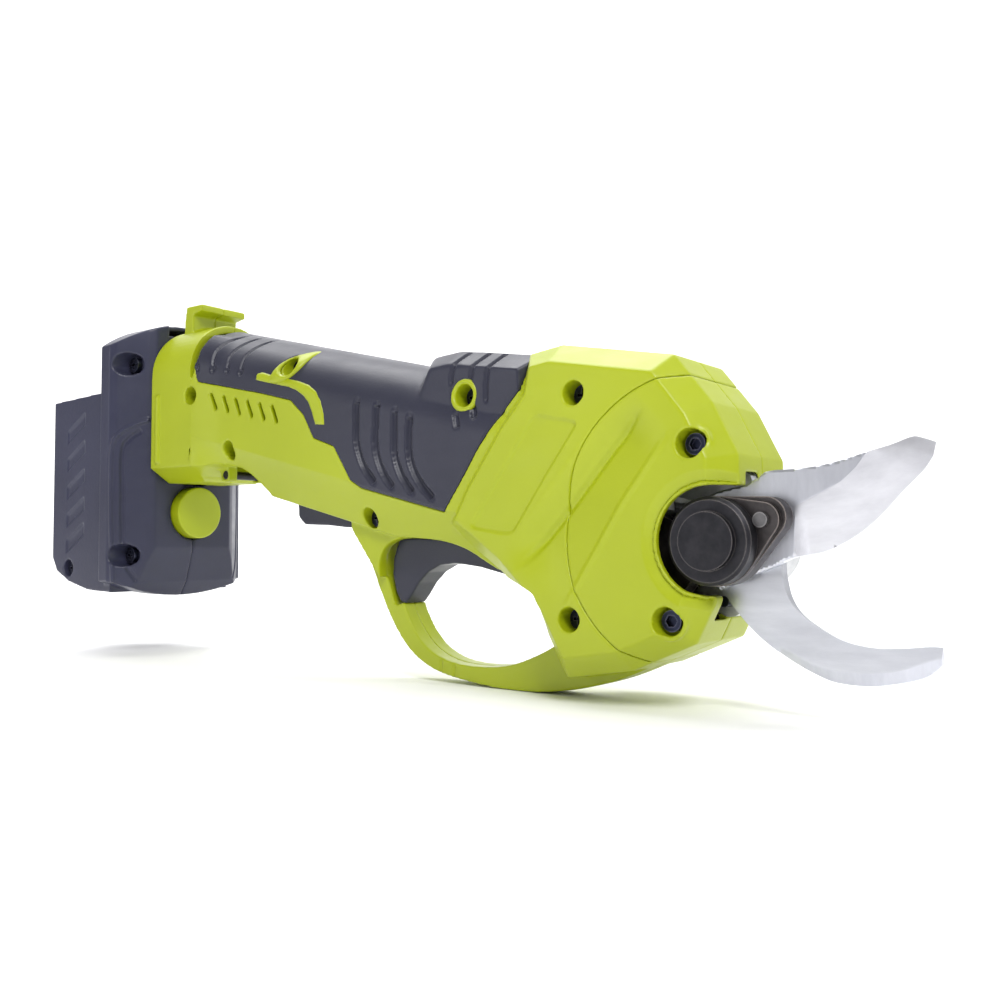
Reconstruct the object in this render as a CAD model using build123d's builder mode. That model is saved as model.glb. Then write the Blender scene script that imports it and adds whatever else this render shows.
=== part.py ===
from build123d import *
import math
import os

os.makedirs("parts", exist_ok=True)

# Battery electric pruner. X runs forward to the blade tips, Z is up, and the right-hand side of the
# tool, which carries the pivot cap, faces -Y. The origin is the centre of the overall box.
# All outlines are measured from the blade pivot, which is placed here.
PIVOT_X = 132.6
PIVOT_Z = -26.05

# Drive line: it passes through the pivot and rises towards the rear inside the handle.
DRIVE_TILT = 13.5
DRIVE_COS = math.cos(math.radians(DRIVE_TILT))
DRIVE_SIN = math.sin(math.radians(DRIVE_TILT))

# Shells
GRIP_SKIN = 2.0
HEAD_HALF = 24.0
HEAD_CORE = 16.0
HEAD_TAPER = 38.0
BARREL_HALF = 21.0
BARREL_TOP = 34.0
BARREL_SHOULDER = 13.0
BARREL_KNEE = -12.0
BARREL_BOTTOM = -27.5
BARREL_FOOT_HALF = 13.0
BARREL_FRONT = 62.0
BARREL_REAR = 240.0
FOOT_REAR_X = -259.0
FOOT_FRONT_X = -232.0
FOOT_HALF = 22.5
FOOT_TOP_Z = 92.5
FOOT_BOTTOM_Z = 25.0
GUARD_HALF = 6.0
TRIGGER_BED_HALF = 10.0
SEAM_CENTRE = (-4.0, 4.5)
SEAM_RADIUS = 43.0
BUMP_CORE = 12.0
BUMP_EDGE = 7.0

# Cutting head, stacked along Y from the cap on the right-hand side to the bolt head
CAP_FACE_Y = -22.5
CAP_DISC_RISE = 1.8
CAP_RADIUS = 12.4
CAP_DISC_RADIUS = 8.2
LOCK_Y = -17.2
HUB_Y = -15.5
BLADE_Y = -10.5
BLADE_THICKNESS = 3.4
COUNTER_Y = -7.0
COUNTER_THICKNESS = 4.0
BASE_Y = -2.95
BASE_THICKNESS = 12.0
BOLT_RADIUS = 6.0
RUNNING_GAP = 0.05
TANG_RADIUS = 14.5
EAR = (13.5, 5.8)
EAR_RADIUS = 4.9

# Crown gear on the blade and the pinion that drives it
CROWN_TEETH = 32
PINION_TEETH = 10
CROWN_MODULE = 1.2
CROWN_INNER = 17.0
CROWN_OUTER = 21.4
CROWN_PITCH = 360 / CROWN_TEETH
CROWN_SECTOR_TEETH = 7
CROWN_ROOT_Y = -7.6
CROWN_TIP_Y = -5.0
CROWN_ROOT_HALF = 1.05
CROWN_TIP_HALF = 0.45
SECTOR_ANGLES = [158, 176, 194, 213, 231]
MESH_ANGLE = 180 - DRIVE_TILT

# Planetary stage
SUN_TEETH = 12
PLANET_TEETH = 18
RING_TEETH = 48
STAGE_MODULE = 0.6
PLANET_ORBIT = STAGE_MODULE * (SUN_TEETH + PLANET_TEETH) / 2
PLANET_COUNT = 3
PLANET_PIN = 1.5
STAGE_START = 38.0
STAGE_WIDTH = 7.0

FLANGE_START = 25.0
FLANGE_END = 34.0
STAGE_CASE_RADIUS = 17.5
BEARING_RADIUS = 9.5
OUTPUT_SHAFT_RADIUS = 4.0

# Motor
MOTOR_START = 52.0
MOTOR_LENGTH = 46.0
MOTOR_RADIUS = 14.2
SHAFT_RADIUS = 1.6
MAGNET_INNER = 10.3
ROTOR_RADIUS = 9.5

# Electrics in the handle
BOARD_START = 124.0
BOARD_LENGTH = 64.0
BOARD_Y = 2.0
LEAD_RADIUS = 1.2
SPRING_RADIUS = 2.8
SPRING_WIRE = 0.4

# Battery pack
PACK_REAR_X = -322.0
PACK_STEP_X = -279.0
PACK_FRONT_X = -259.2
PACK_HALF = 34.0
PACK_REAR_HALF = 30.5
NOSE_HALF = 19.5
PACK_BOTTOM_Z = -24.0
PACK_SHOULDER_Z = 84.0
PACK_TOP_Z = 96.0
PACK_REAR_TOP_Z = 63.3
PACK_WALL = 2.1
CELL_RADIUS = 9.1
CELL_LENGTH = 65.0
CELL_PITCH = 19.0
CELL_FRONT_X = -282.6
CELL_BOTTOM_Z = -5.5
RAIL_HEAD_HALF = 17.0
RAIL_NECK_HALF = 13.0
RAIL_NECK_DEPTH = 2.6
RAIL_DEPTH = 5.6
RAIL_BOTTOM_Z = 34.0
RAIL_TOP_Z = 84.0
RAIL_GAP = 0.35
BUTTON_RADIUS = 11.2
BUTTON_Z = 12.5
BUTTON_FACE_X = -254.5
LATCH_X = -262.0
LATCH_WIDTH = 10.0
SPRING_RIB_X = -270.8
SLOT_WALL_X = -267.6
SLOT_HEAD_X = -264.95
SLOT_LIP_X = -261.25
GRIP_GROOVES = [43.4, 31.0, 18.4, 5.9, -5.4]

# Fasteners: places on the side view, measured from the pivot
# (forward, up, depth of the head's seat, reach of the boss)
HOUSING_SCREWS = [
    (-232.0, 60.0, 14.5, 20.5), (-209.5, 36.5, 11.0, 17.5), (-175.7, 66.8, 11.0, 16.0),
    (-135.5, 8.4, 8.5, 12.0), (-88.9, 48.2, 11.0, 15.3), (-42.9, 44.5, 15.5, 22.0),
    (-44.6, -23.5, 15.5, 22.0),
]
GRIP_HOLES = [(-175.7, 66.8), (-88.9, 48.2)]
COVER_BOLTS = [(-4.7, 27.2), (-12.5, -22.6)]
COUNTER_SCREWS = [(-2.4, -17.3), (1.5, 17.4)]
# (forward, up, depth of the head's seat, radius of the recess)
PACK_SCREWS = [(-266.9, 76.0, 23.5, 4.7), (-267.6, -6.0, 23.5, 4.7), (-308.5, -12.0, 26.0, 3.7)]
SCREW_HEAD_RADIUS = 3.3
SCREW_HEAD_HEIGHT = 2.4
SCREW_RADIUS = 1.5
RECESS_RADIUS = 3.7
BOSS_RADIUS = 4.6
COVER_BOLT_SEAT = 17.0
COVER_BOLT_HEAD = 3.1
COVER_BOLT_RECESS = 4.2
COVER_BOLT_HEIGHT = 2.8
COVER_BOLT_RADIUS = 2.0
BOLT_BOSS_RADIUS = 4.4
COUNTER_SCREW_RADIUS = 1.65
LOCK_SCREW_RADIUS = 1.2
DRIVE_PIN_RADIUS = 1.5
DRIVE_PIN_ORBIT = 10.2
LEVER_PIN_RADIUS = 1.5
PACK_BOSS_RADIUS = 4.2


def side_plane(y):
    """The plane of the side view at a given Y: forward is its x, up is its y, and it faces -Y."""
    return Plane(origin=(PIVOT_X, y, PIVOT_Z), x_dir=(1, 0, 0), z_dir=(0, -1, 0))


def drive_plane(distance):
    """The plane across the drive line, that far behind the pivot: -Y is its x and up is its y."""
    origin = (PIVOT_X - distance * DRIVE_COS, 0, PIVOT_Z + distance * DRIVE_SIN)
    return Plane(origin=origin, x_dir=(0, -1, 0), z_dir=(-DRIVE_COS, 0, DRIVE_SIN))


def cross_plane(x):
    """The plane across the tool at a given distance from the pivot: +Y is its x and up is its y."""
    return Plane(origin=(PIVOT_X + x, 0, PIVOT_Z), x_dir=(0, 1, 0), z_dir=(1, 0, 0))


def level_plane(z):
    """A level plane at a given height over the pivot, with the pivot as its centre."""
    return Plane(origin=(PIVOT_X, 0, PIVOT_Z + z), x_dir=(1, 0, 0), z_dir=(0, 0, 1))


def polar(radius, angle):
    """A point of the side view at that radius and angle from the pivot."""
    return (radius * math.cos(math.radians(angle)), radius * math.sin(math.radians(angle)))


def save(builder, name):
    """Labels a finished piece and writes it."""
    builder.part.label = name
    export_step(builder.part, "parts/" + name + ".step")


def barrel_face(inset):
    """The handle's egg-shaped section: round on top and tapered below."""
    half = BARREL_HALF - inset
    top = BARREL_TOP - inset
    bottom = BARREL_BOTTOM + inset
    foot = BARREL_FOOT_HALF - inset / 2
    with BuildSketch() as face:
        with BuildLine():
            ThreePointArc((half, BARREL_SHOULDER), (0, top), (-half, BARREL_SHOULDER))
            Polyline(
                (-half, BARREL_SHOULDER), (-half, BARREL_KNEE), (-foot, bottom), (foot, bottom),
                (half, BARREL_KNEE), (half, BARREL_SHOULDER),
            )
        make_face()
    return face.sketch


def foot_face(inset):
    """The foot's arched section, which meets the battery pack."""
    half = FOOT_HALF - inset
    top = FOOT_TOP_Z - inset
    bottom = FOOT_BOTTOM_Z + inset
    shoulder = FOOT_TOP_Z - FOOT_HALF
    with BuildSketch() as face:
        with BuildLine():
            ThreePointArc((half, shoulder), (0, top), (-half, shoulder))
            Polyline(
                (-half, shoulder), (-half, bottom + 6), (-half + 9, bottom), (half - 9, bottom),
                (half, bottom + 6), (half, shoulder),
            )
        make_face()
    return face.sketch


def head_face(inset):
    """The head's faceted side outline."""
    with BuildSketch() as face:
        with BuildLine():
            Polyline(
                (-97, 5), (-88.5, 20), (-74, 40), (-66.5, 48), (-64, 59.6), (-51.7, 61.2), (-13, 54),
                (-1, 39), (6.6, 24), (6.6, 8), (-1, -18), (-6.5, -29), (-27, -38), (-50, -42),
                (-60, -24), (-75, -10),
                close=True,
            )
        make_face()
        if inset:
            offset(amount=-inset, kind=Kind.INTERSECTION)
    return face.sketch


def gear_face(teeth, module, addendum, dedendum, backlash):
    """An involute gear outline. The first tooth points along the sketch's x."""
    pitch_radius = teeth * module / 2
    base_radius = pitch_radius * math.cos(math.radians(20))
    root_radius = pitch_radius - dedendum * module
    tip_radius = pitch_radius + addendum * module
    involute = math.tan(math.radians(20)) - math.radians(20)
    half_tooth = math.pi / (2 * teeth) - backlash / (2 * pitch_radius)
    radii = [root_radius + (tip_radius - root_radius) * k / 4 for k in range(5)]
    flank = []
    for radius in radii:
        pressure = math.acos(min(1.0, base_radius / radius))
        narrowing = 0.05 * max(0.0, (base_radius - radius) / module)
        half = half_tooth + involute - math.tan(pressure) + pressure - narrowing
        flank.append((radius, half))
    points = []
    for tooth in range(teeth):
        middle = 2 * math.pi * tooth / teeth
        sides = [(r, middle - a) for r, a in flank] + [(r, middle + a) for r, a in reversed(flank)]
        points += [(r * math.cos(a), r * math.sin(a)) for r, a in sides]
    with BuildSketch() as face:
        with BuildLine():
            Polyline(*points, close=True)
        make_face()
    return face.sketch


GUARD_CURVE = [
    (-149.6, 4.2), (-144.4, -7), (-139.1, -18), (-133.1, -28.6), (-124.2, -38.9), (-114.7, -44.4),
    (-99, -47.8), (-80, -49.4), (-57, -47.6), (-27, -38),
]
GUARD_ROOT = [(-27, -38), (-30, -10), (-60, 14), (-152, 14), (-149.6, 4.2)]
GUARD_OPENING = [
    (-127.2, -22.6), (-123.3, -29.9), (-117.1, -36.7), (-107, -41.4), (-95, -42.6), (-79, -40.9),
    (-68, -36.8), (-59, -31), (-55.8, -24), (-57.5, -17), (-68.5, -12.8), (-81.5, -8.2), (-90, -3.3),
    (-103, 0.2), (-113, 1), (-125, 0.9), (-131.5, -1), (-135, -5), (-135.6, -12), (-133, -19.5),
    (-130.6, -23),
]
BED_OUTLINE = [
    (-153, 24), (-150, 4.2), (-137, -12), (-127, -20), (-100, -8), (-69, -15), (-56, -20), (-50, 10),
]
ARCH_OUTLINE = [
    (-234.5, 0), (-234.5, 24.6), (-230, 27.8), (-225.5, 30.6), (-221, 31.6), (-215, 31), (-205, 29.2),
    (-200, 26.4), (-196, 22.9), (-192.5, 19.4), (-190.5, 15.5), (-190.5, 0),
]
OPENING_END = [
    (-78, -6), (-69.5, -9.6), (-57.5, -13.6), (-53.6, -18), (-52.6, -24), (-55, -31), (-62, -38), (-90, -38),
    (-90, -6),
]
ARCH_FLOOR = [
    (-237, 0), (-237, 33), (-221, 34.8), (-214.5, 34.2), (-204, 32.2), (-198, 29), (-193.4, 24.8),
    (-190, 21.4), (-188, 17), (-188, 0),
]
BUMP_OUTLINE = [(-114, 52), (-108, 64), (-96, 64.9), (-62, 59.6), (-60, 36), (-112, 36)]
GRIP_OUTLINE = [
    (-229.5, 110), (-229.5, 88), (-229, 81), (-230, 72), (-227.2, 65.4), (-189.5, 57.6),
    (-172.1, 53.4), (-164.8, 47.2), (-159.3, 38.2), (-148.6, 34.6), (-140, 22), (-134.8, 18.9),
    (-96, 9.7), (-88.5, 20), (-82, 29.5), (-74, 40), (-66.5, 48), (-64, 59.6), (-60, 110),
]
VENT_COUNT = 6
VENT_FIRST = (-218.2, 56.5)
VENT_STEP = (7.35, -1.55)
VENT_WIDTH = 1.8
VENT_LENGTH = 8.0
VENT_LEAN = 25.0
TRIGGER_PIVOT = (-73.0, -4.5)
TRIGGER_HALF = 5.4
TRIGGER_OUTLINE = [
    (-69, -13.2), (-81, -11.4), (-93, -8.8), (-104, -7.6), (-111, -8.4), (-116.5, -11),
    (-121, -15), (-124.4, -19.5), (-127, -22.4), (-129.6, -21.6), (-131.6, -18.5), (-133.4, -12),
    (-133, -6), (-130.4, 0.2), (-128.6, 1.2), (-119, 1.2), (-103, 1.1), (-90, 1), (-76, 1), (-69, -1.5),
]
LOCK_PIVOT = (-149.0, 9.0)
LOCK_HALF = 5.6
LOCK_OUTLINE = [
    (-145.6, 5.6), (-157, 5.2), (-168, 6.2), (-180.5, 6.6), (-184, 9.5), (-184.6, 15.6),
    (-171, 15.6), (-152, 12.4), (-146, 11),
]
HOOK_HALF = 11.5
LANYARD = (-224.0, 27.6)
LANYARD_RADIUS = 1.75
LANYARD_HALF = 6.0
SHELL = 4.4
HEAD_WALL = 3.0
FOOT_WALL = 3.4
BOLT_SEAT_Y = 9.05
COVER_CUT_RADIUS = 15.4
BASE_EAR_RADIUS = 5.6
COUNTER_EAR_RADIUS = 4.6
BUSH_RADIUS = 8.0
BLADE_OUTLINE = [
    (5.9, 15.8), (9.5, 17.6), (12.7, 19.4), (21.8, 19.8), (30, 20.8), (39.5, 23.3), (45.7, 25),
    (50.6, 26.8), (53.1, 26.4), (56.2, 25.2), (55.4, 21.7), (52.9, 18), (48, 13.1), (42.9, 7.5),
    (37.7, 2.9), (32.4, -0.5), (27, -2.9), (21.5, -4.3), (19.3, -4.5), (16.4, -5.9), (13, -7.4),
    (5.6, -10), (-4, -10), (-8, 8),
]
COUNTER_OUTLINE = [
    (15, -6), (15, -9.3), (16.4, -14.8), (19.1, -18.8), (24.1, -22.7), (30.9, -26.3), (38.7, -27.9),
    (46.3, -27.7), (53.7, -26.8), (56.8, -26.8), (56, -31.9), (52.4, -34.7), (46.2, -36.7),
    (38.6, -38.1), (30.7, -38), (25.3, -36.6), (17, -32.6), (8.4, -26.8), (2.5, -20.9), (-3, -14.6),
    (-3, 0), (14, 0),
]


def side_polygon(points):
    """A closed outline on the side view."""
    with BuildSketch() as face:
        with BuildLine():
            Polyline(*points, close=True)
        make_face()
    return face.sketch


def guard_face():
    """The trigger guard's curved outer side and the straight root inside the handle."""
    with BuildSketch() as face:
        with BuildLine():
            Spline(*GUARD_CURVE)
            Polyline(*GUARD_ROOT)
        make_face()
    return face.sketch


def opening_face():
    """The finger opening in the guard."""
    with BuildSketch() as face:
        with BuildLine():
            Spline(*GUARD_OPENING, periodic=True)
        make_face()
    return face.sketch


def pack_plan(inset):
    """The battery's front block from above, with its front corners cut back."""
    half = PACK_HALF - inset
    front = PACK_FRONT_X - inset
    corner = [
        (front, NOSE_HALF), (front - 1.8, NOSE_HALF + 3 - inset / 2), (-269.5 - inset / 2, half - 1.8),
        (-272.5 - inset / 3, half), (PACK_STEP_X - 1, half),
    ]
    with BuildSketch() as face:
        with BuildLine():
            Polyline(*corner, *[(x, -y) for x, y in reversed(corner)], close=True)
        make_face()
    return face.sketch


def pack_chin(inset):
    """The same block from the side, with its lower front edge sloped back."""
    return side_polygon([
        (PACK_STEP_X - 1, PACK_TOP_Z), (PACK_FRONT_X - inset, PACK_TOP_Z), (PACK_FRONT_X - inset, -3),
        (-261.4 - inset, -10.6), (-263.6 - inset, -17.5), (-268 - inset, -24.1), (PACK_STEP_X - 1, -24.1),
    ])


def pack_front_face(inset):
    """The battery's front block, seen from the front, with its arched top."""
    half = PACK_HALF - inset
    with BuildSketch() as face:
        with BuildLine():
            ThreePointArc((half, PACK_SHOULDER_Z - inset), (0, PACK_TOP_Z - inset),
                          (-half, PACK_SHOULDER_Z - inset))
            Line((-half, PACK_SHOULDER_Z - inset), (-half, PACK_BOTTOM_Z + 7 + inset))
            ThreePointArc((-half, PACK_BOTTOM_Z + 7 + inset), (0, PACK_BOTTOM_Z + inset),
                          (half, PACK_BOTTOM_Z + 7 + inset))
            Line((half, PACK_BOTTOM_Z + 7 + inset), (half, PACK_SHOULDER_Z - inset))
        make_face()
    return face.sketch


def pack_rear_face(inset):
    """The battery's rear block, seen from the side, with its rounded lower corner."""
    return side_polygon([
        (PACK_REAR_X + inset, PACK_REAR_TOP_Z - inset), (PACK_STEP_X + 4, PACK_REAR_TOP_Z + 2 - inset),
        (PACK_STEP_X + 4, -22 + inset), (-293, -21.3 + inset), (-308, -18 + inset),
        (-318 + inset / 2, -13.5 + inset / 2), (PACK_REAR_X + inset, -7 + inset / 2),
    ])


# ---------------------------------------------------------------- solids the shells are cut from

with BuildPart() as tool_form:
    with BuildSketch(drive_plane(BARREL_FRONT)):
        add(barrel_face(0))
    extrude(amount=BARREL_REAR - BARREL_FRONT)
    with BuildSketch(cross_plane(FOOT_REAR_X)):
        add(foot_face(0))
    extrude(amount=FOOT_FRONT_X - FOOT_REAR_X)
    with BuildSketch(side_plane(0)):
        add(head_face(0))
    extrude(amount=HEAD_CORE, both=True)
    with BuildSketch(side_plane(-HEAD_CORE)):
        add(head_face(0))
    extrude(amount=HEAD_HALF - HEAD_CORE, taper=HEAD_TAPER)
    with BuildSketch(side_plane(HEAD_CORE)):
        add(head_face(0))
    extrude(amount=HEAD_CORE - HEAD_HALF, taper=HEAD_TAPER)
    with BuildSketch(side_plane(0)):
        add(side_polygon(BUMP_OUTLINE))
    extrude(amount=BUMP_CORE, both=True)
    with BuildSketch(side_plane(-BUMP_CORE)):
        add(side_polygon(BUMP_OUTLINE))
    extrude(amount=BUMP_EDGE, taper=HEAD_TAPER)
    with BuildSketch(side_plane(BUMP_CORE)):
        add(side_polygon(BUMP_OUTLINE))
    extrude(amount=-BUMP_EDGE, taper=HEAD_TAPER)
    with BuildSketch(side_plane(0)):
        add(side_polygon(BED_OUTLINE))
    extrude(amount=TRIGGER_BED_HALF, both=True)
    with BuildSketch(side_plane(0)):
        add(guard_face())
    extrude(amount=GUARD_HALF, both=True)
    with BuildSketch(side_plane(0)):
        add(opening_face())
    extrude(amount=2 * HEAD_HALF, both=True, mode=Mode.SUBTRACT)
    with BuildSketch(side_plane(0)):
        add(side_polygon(ARCH_OUTLINE))
    extrude(amount=2 * HEAD_HALF, both=True, mode=Mode.SUBTRACT)

with BuildPart() as tool_cavity:
    with BuildSketch(drive_plane(BARREL_FRONT - 6)):
        add(barrel_face(SHELL))
    extrude(amount=BARREL_REAR - BARREL_FRONT + 10)
    with BuildSketch(cross_plane(FOOT_REAR_X + FOOT_WALL)):
        add(foot_face(FOOT_WALL))
    extrude(amount=FOOT_FRONT_X - FOOT_REAR_X - FOOT_WALL)
    with BuildSketch(side_plane(0)):
        add(head_face(HEAD_WALL))
    extrude(amount=HEAD_CORE, both=True)
    with BuildSketch(side_plane(-HEAD_CORE)):
        add(head_face(HEAD_WALL))
    extrude(amount=HEAD_HALF - HEAD_CORE - HEAD_WALL, taper=HEAD_TAPER)
    with BuildSketch(side_plane(HEAD_CORE)):
        add(head_face(HEAD_WALL))
    extrude(amount=HEAD_CORE + HEAD_WALL - HEAD_HALF, taper=HEAD_TAPER)
    with BuildSketch(side_plane(0)):
        add(side_polygon(ARCH_FLOOR))
        add(side_polygon(OPENING_END))
    extrude(amount=HEAD_HALF, both=True, mode=Mode.SUBTRACT)
    with BuildSketch(side_plane(0)):
        add(side_polygon([(-186.5, 2), (-186.5, 24), (-144, 16), (-144, 2)]))
    extrude(amount=GUARD_HALF, both=True)

with BuildPart() as lanyard_block:
    with BuildSketch(side_plane(0)):
        with Locations((LANYARD[0], LANYARD[1] + 4)):
            Rectangle(20, 12)
    extrude(amount=BARREL_HALF - SHELL, both=True)

with BuildPart() as lanyard_tab:
    with BuildSketch(side_plane(0)):
        with Locations((LANYARD[0], LANYARD[1] + 1.4)):
            Rectangle(5.2, 8)
    extrude(amount=LANYARD_HALF + 4, both=True)

with BuildPart() as lanyard_notch:
    with BuildSketch(side_plane(0)):
        with Locations((LANYARD[0], LANYARD[1])):
            Rectangle(14, 13)
    extrude(amount=LANYARD_HALF, both=True)
    with BuildSketch(side_plane(0)):
        with Locations(LANYARD):
            Circle(LANYARD_RADIUS)
    extrude(amount=LANYARD_HALF + 4, both=True)

with BuildPart() as grip_zone:
    with BuildSketch(side_plane(0)):
        add(side_polygon(GRIP_OUTLINE))
    extrude(amount=2 * HEAD_HALF, both=True)

with BuildPart() as grip_skin:
    add(tool_form.part)
    with BuildSketch(drive_plane(BARREL_FRONT - 10)):
        add(barrel_face(GRIP_SKIN))
    extrude(amount=BARREL_REAR - BARREL_FRONT + 20, mode=Mode.SUBTRACT)
    add(grip_zone.part, mode=Mode.INTERSECT)
    with BuildSketch(side_plane(-2)):
        with Locations(*GRIP_HOLES):
            Circle(BOSS_RADIUS + 0.1)
    extrude(amount=HEAD_HALF, mode=Mode.SUBTRACT)

with BuildPart() as cover_zone:
    with BuildSketch(side_plane(0)):
        with Locations(SEAM_CENTRE):
            Circle(SEAM_RADIUS)
    extrude(amount=2 * HEAD_HALF, both=True)

with BuildPart() as trigger_room:
    with BuildSketch(side_plane(0)):
        add(side_polygon([(-136, -13), (-136, 9), (-66, 4), (-66, -13)]))
    extrude(amount=GUARD_HALF, both=True)

with BuildPart() as pins_room:
    with BuildSketch(side_plane(0)):
        with Locations(TRIGGER_PIVOT, LOCK_PIVOT):
            Circle(1.5)
    extrude(amount=9, both=True)

with BuildPart() as spring_shelves:
    with BuildSketch(side_plane(0)):
        with Locations((-176, 27.5)):
            Rectangle(12, 2.4)
        with Locations((-124, 11)):
            Rectangle(9, 2.4)
    extrude(amount=BARREL_HALF - SHELL + 0.5, both=True)

with BuildPart() as rail_form:
    with BuildSketch(level_plane(RAIL_BOTTOM_Z)):
        with Locations((FOOT_REAR_X - RAIL_NECK_DEPTH / 2 + 0.5, 0)):
            Rectangle(RAIL_NECK_DEPTH + 1, 2 * RAIL_NECK_HALF)
        with Locations((FOOT_REAR_X - (RAIL_NECK_DEPTH + RAIL_DEPTH) / 2, 0)):
            Rectangle(RAIL_DEPTH - RAIL_NECK_DEPTH, 2 * RAIL_HEAD_HALF)
    extrude(amount=RAIL_TOP_Z - RAIL_BOTTOM_Z)

with BuildPart() as contact_form:
    for y in (-10, 10):
        with BuildSketch(side_plane(y + 0.45)):
            add(side_polygon([
                (-264, 27), (-262, 27), (-262, 50), (-250, 50), (-250, 56), (-264, 56),
            ]))
        extrude(amount=0.9)

with BuildPart() as latch_groove:
    with BuildSketch(cross_plane(FOOT_REAR_X - 0.1)):
        with Locations((0, 28.5)):
            Rectangle(11.4, 9)
    extrude(amount=2.7)

with BuildPart() as vents:
    for k in range(VENT_COUNT):
        with BuildSketch(side_plane(0)):
            with Locations((VENT_FIRST[0] + k * VENT_STEP[0], VENT_FIRST[1] + k * VENT_STEP[1])):
                Rectangle(VENT_WIDTH, VENT_LENGTH, rotation=VENT_LEAN)
        extrude(amount=BARREL_HALF + 1, both=True)

with BuildPart() as hook_form:
    with BuildSketch(side_plane(0)):
        add(side_polygon([
            (-252, 84), (-251, 97), (-250, 101.5), (-239.5, 101.5), (-239.5, 98.5), (-245.5, 97.5),
            (-245.5, 84),
        ]))
    extrude(amount=HOOK_HALF, both=True)

for side in ("right", "left"):
    sign = 1 if side == "right" else -1
    keep = Keep.TOP if side == "right" else Keep.BOTTOM

    with BuildPart() as housing:
        add(tool_form.part)
        add(tool_cavity.part, mode=Mode.SUBTRACT)
        add(lanyard_block.part)
        add(spring_shelves.part)
        for x, z, seat, reach in HOUSING_SCREWS:
            with BuildSketch(side_plane(sign * 2)):
                with Locations((x, z)):
                    Circle(BOSS_RADIUS)
            extrude(amount=sign * (reach + 2))
        add(tool_form.part, mode=Mode.INTERSECT)
        add(rail_form.part)
        add(hook_form.part)
        add(lanyard_tab.part)
        add(lanyard_notch.part, mode=Mode.SUBTRACT)
        add(contact_form.part, mode=Mode.SUBTRACT)
        add(latch_groove.part, mode=Mode.SUBTRACT)
        add(grip_skin.part, mode=Mode.SUBTRACT)
        add(cover_zone.part, mode=Mode.SUBTRACT)
        add(trigger_room.part, mode=Mode.SUBTRACT)
        add(pins_room.part, mode=Mode.SUBTRACT)
        add(vents.part, mode=Mode.SUBTRACT)
        for x, z, seat, reach in HOUSING_SCREWS:
            with BuildSketch(side_plane(reach - 3)):
                with Locations((x, z)):
                    Circle(SCREW_RADIUS)
            extrude(amount=reach + seat - 2, mode=Mode.SUBTRACT)
            with BuildSketch(side_plane(-seat)):
                with Locations((x, z)):
                    Circle(RECESS_RADIUS)
            extrude(amount=HEAD_HALF, mode=Mode.SUBTRACT)
        split(bisect_by=Plane.XZ, keep=keep)
    save(housing, "housing_" + side)

    with BuildPart() as grip:
        add(grip_skin.part)
        split(bisect_by=Plane.XZ, keep=keep)
    save(grip, "grip_" + side)


# ---------------------------------------------------------------- head covers

with BuildPart() as cover_form:
    add(tool_form.part)
    add(tool_cavity.part, mode=Mode.SUBTRACT)
    with BuildSketch(side_plane(0)):
        with Locations(*COVER_BOLTS):
            Circle(BOLT_BOSS_RADIUS)
    extrude(amount=HEAD_HALF - HEAD_WALL + 0.5, both=True)
    with BuildSketch(side_plane(1.5 - COVER_BOLT_SEAT)):
        with Locations(*COVER_BOLTS):
            Circle(BOLT_BOSS_RADIUS + 1.2)
    extrude(amount=HEAD_HALF - HEAD_WALL + 2 - COVER_BOLT_SEAT)
    add(cover_zone.part, mode=Mode.INTERSECT)
    with BuildSketch(side_plane(BOLT_SEAT_Y + RUNNING_GAP)):
        with Locations(*COVER_BOLTS):
            Circle(BASE_EAR_RADIUS + 0.8)
        with Locations(*COUNTER_SCREWS):
            Circle(COUNTER_EAR_RADIUS + 0.2)
        with Locations((3, 0)):
            Rectangle(34, 31)
    extrude(amount=BOLT_SEAT_Y - COUNTER_Y + 0.2, mode=Mode.SUBTRACT)
    with BuildSketch(side_plane(BASE_Y + RUNNING_GAP)):
        with Locations((3, -1.5)):
            Rectangle(34, 42)
    extrude(amount=BASE_Y - BLADE_Y + 0.7, mode=Mode.SUBTRACT)
    with BuildSketch(side_plane(0)):
        Circle(COVER_CUT_RADIUS)
        with Locations((15, 1.2)):
            Rectangle(30, 28.6)
    extrude(amount=HEAD_HALF + 2, mode=Mode.SUBTRACT)
    with BuildSketch(side_plane(0)):
        Circle(11)
        with Locations((15, 0)):
            Rectangle(30, 22)
    extrude(amount=-HEAD_HALF - 2, mode=Mode.SUBTRACT)
    with BuildSketch(side_plane(0)):
        with Locations(*COVER_BOLTS):
            Circle(COVER_BOLT_RADIUS)
    extrude(amount=HEAD_HALF - 2, both=True, mode=Mode.SUBTRACT)
    with BuildSketch(side_plane(-COVER_BOLT_SEAT)):
        with Locations(*COVER_BOLTS):
            Circle(COVER_BOLT_RECESS)
    extrude(amount=8, mode=Mode.SUBTRACT)

for side, keep in (("right", Keep.TOP), ("left", Keep.BOTTOM)):
    with BuildPart() as cover:
        add(cover_form.part)
        split(bisect_by=Plane.XZ, keep=keep)
    save(cover, "head_cover_" + side)

with BuildPart() as cover_bolts:
    with BuildSketch(side_plane(-COVER_BOLT_SEAT)):
        with Locations(*COVER_BOLTS):
            Circle(COVER_BOLT_HEAD)
    extrude(amount=COVER_BOLT_HEIGHT)
    with BuildSketch(side_plane(-COVER_BOLT_SEAT - 1.2)):
        with Locations(*COVER_BOLTS):
            RegularPolygon(1.8, 6)
    extrude(amount=3, mode=Mode.SUBTRACT)
    with BuildSketch(side_plane(18)):
        with Locations(*COVER_BOLTS):
            Circle(COVER_BOLT_RADIUS - RUNNING_GAP)
    extrude(amount=18 + COVER_BOLT_SEAT)
save(cover_bolts, "cover_bolts")

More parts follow.
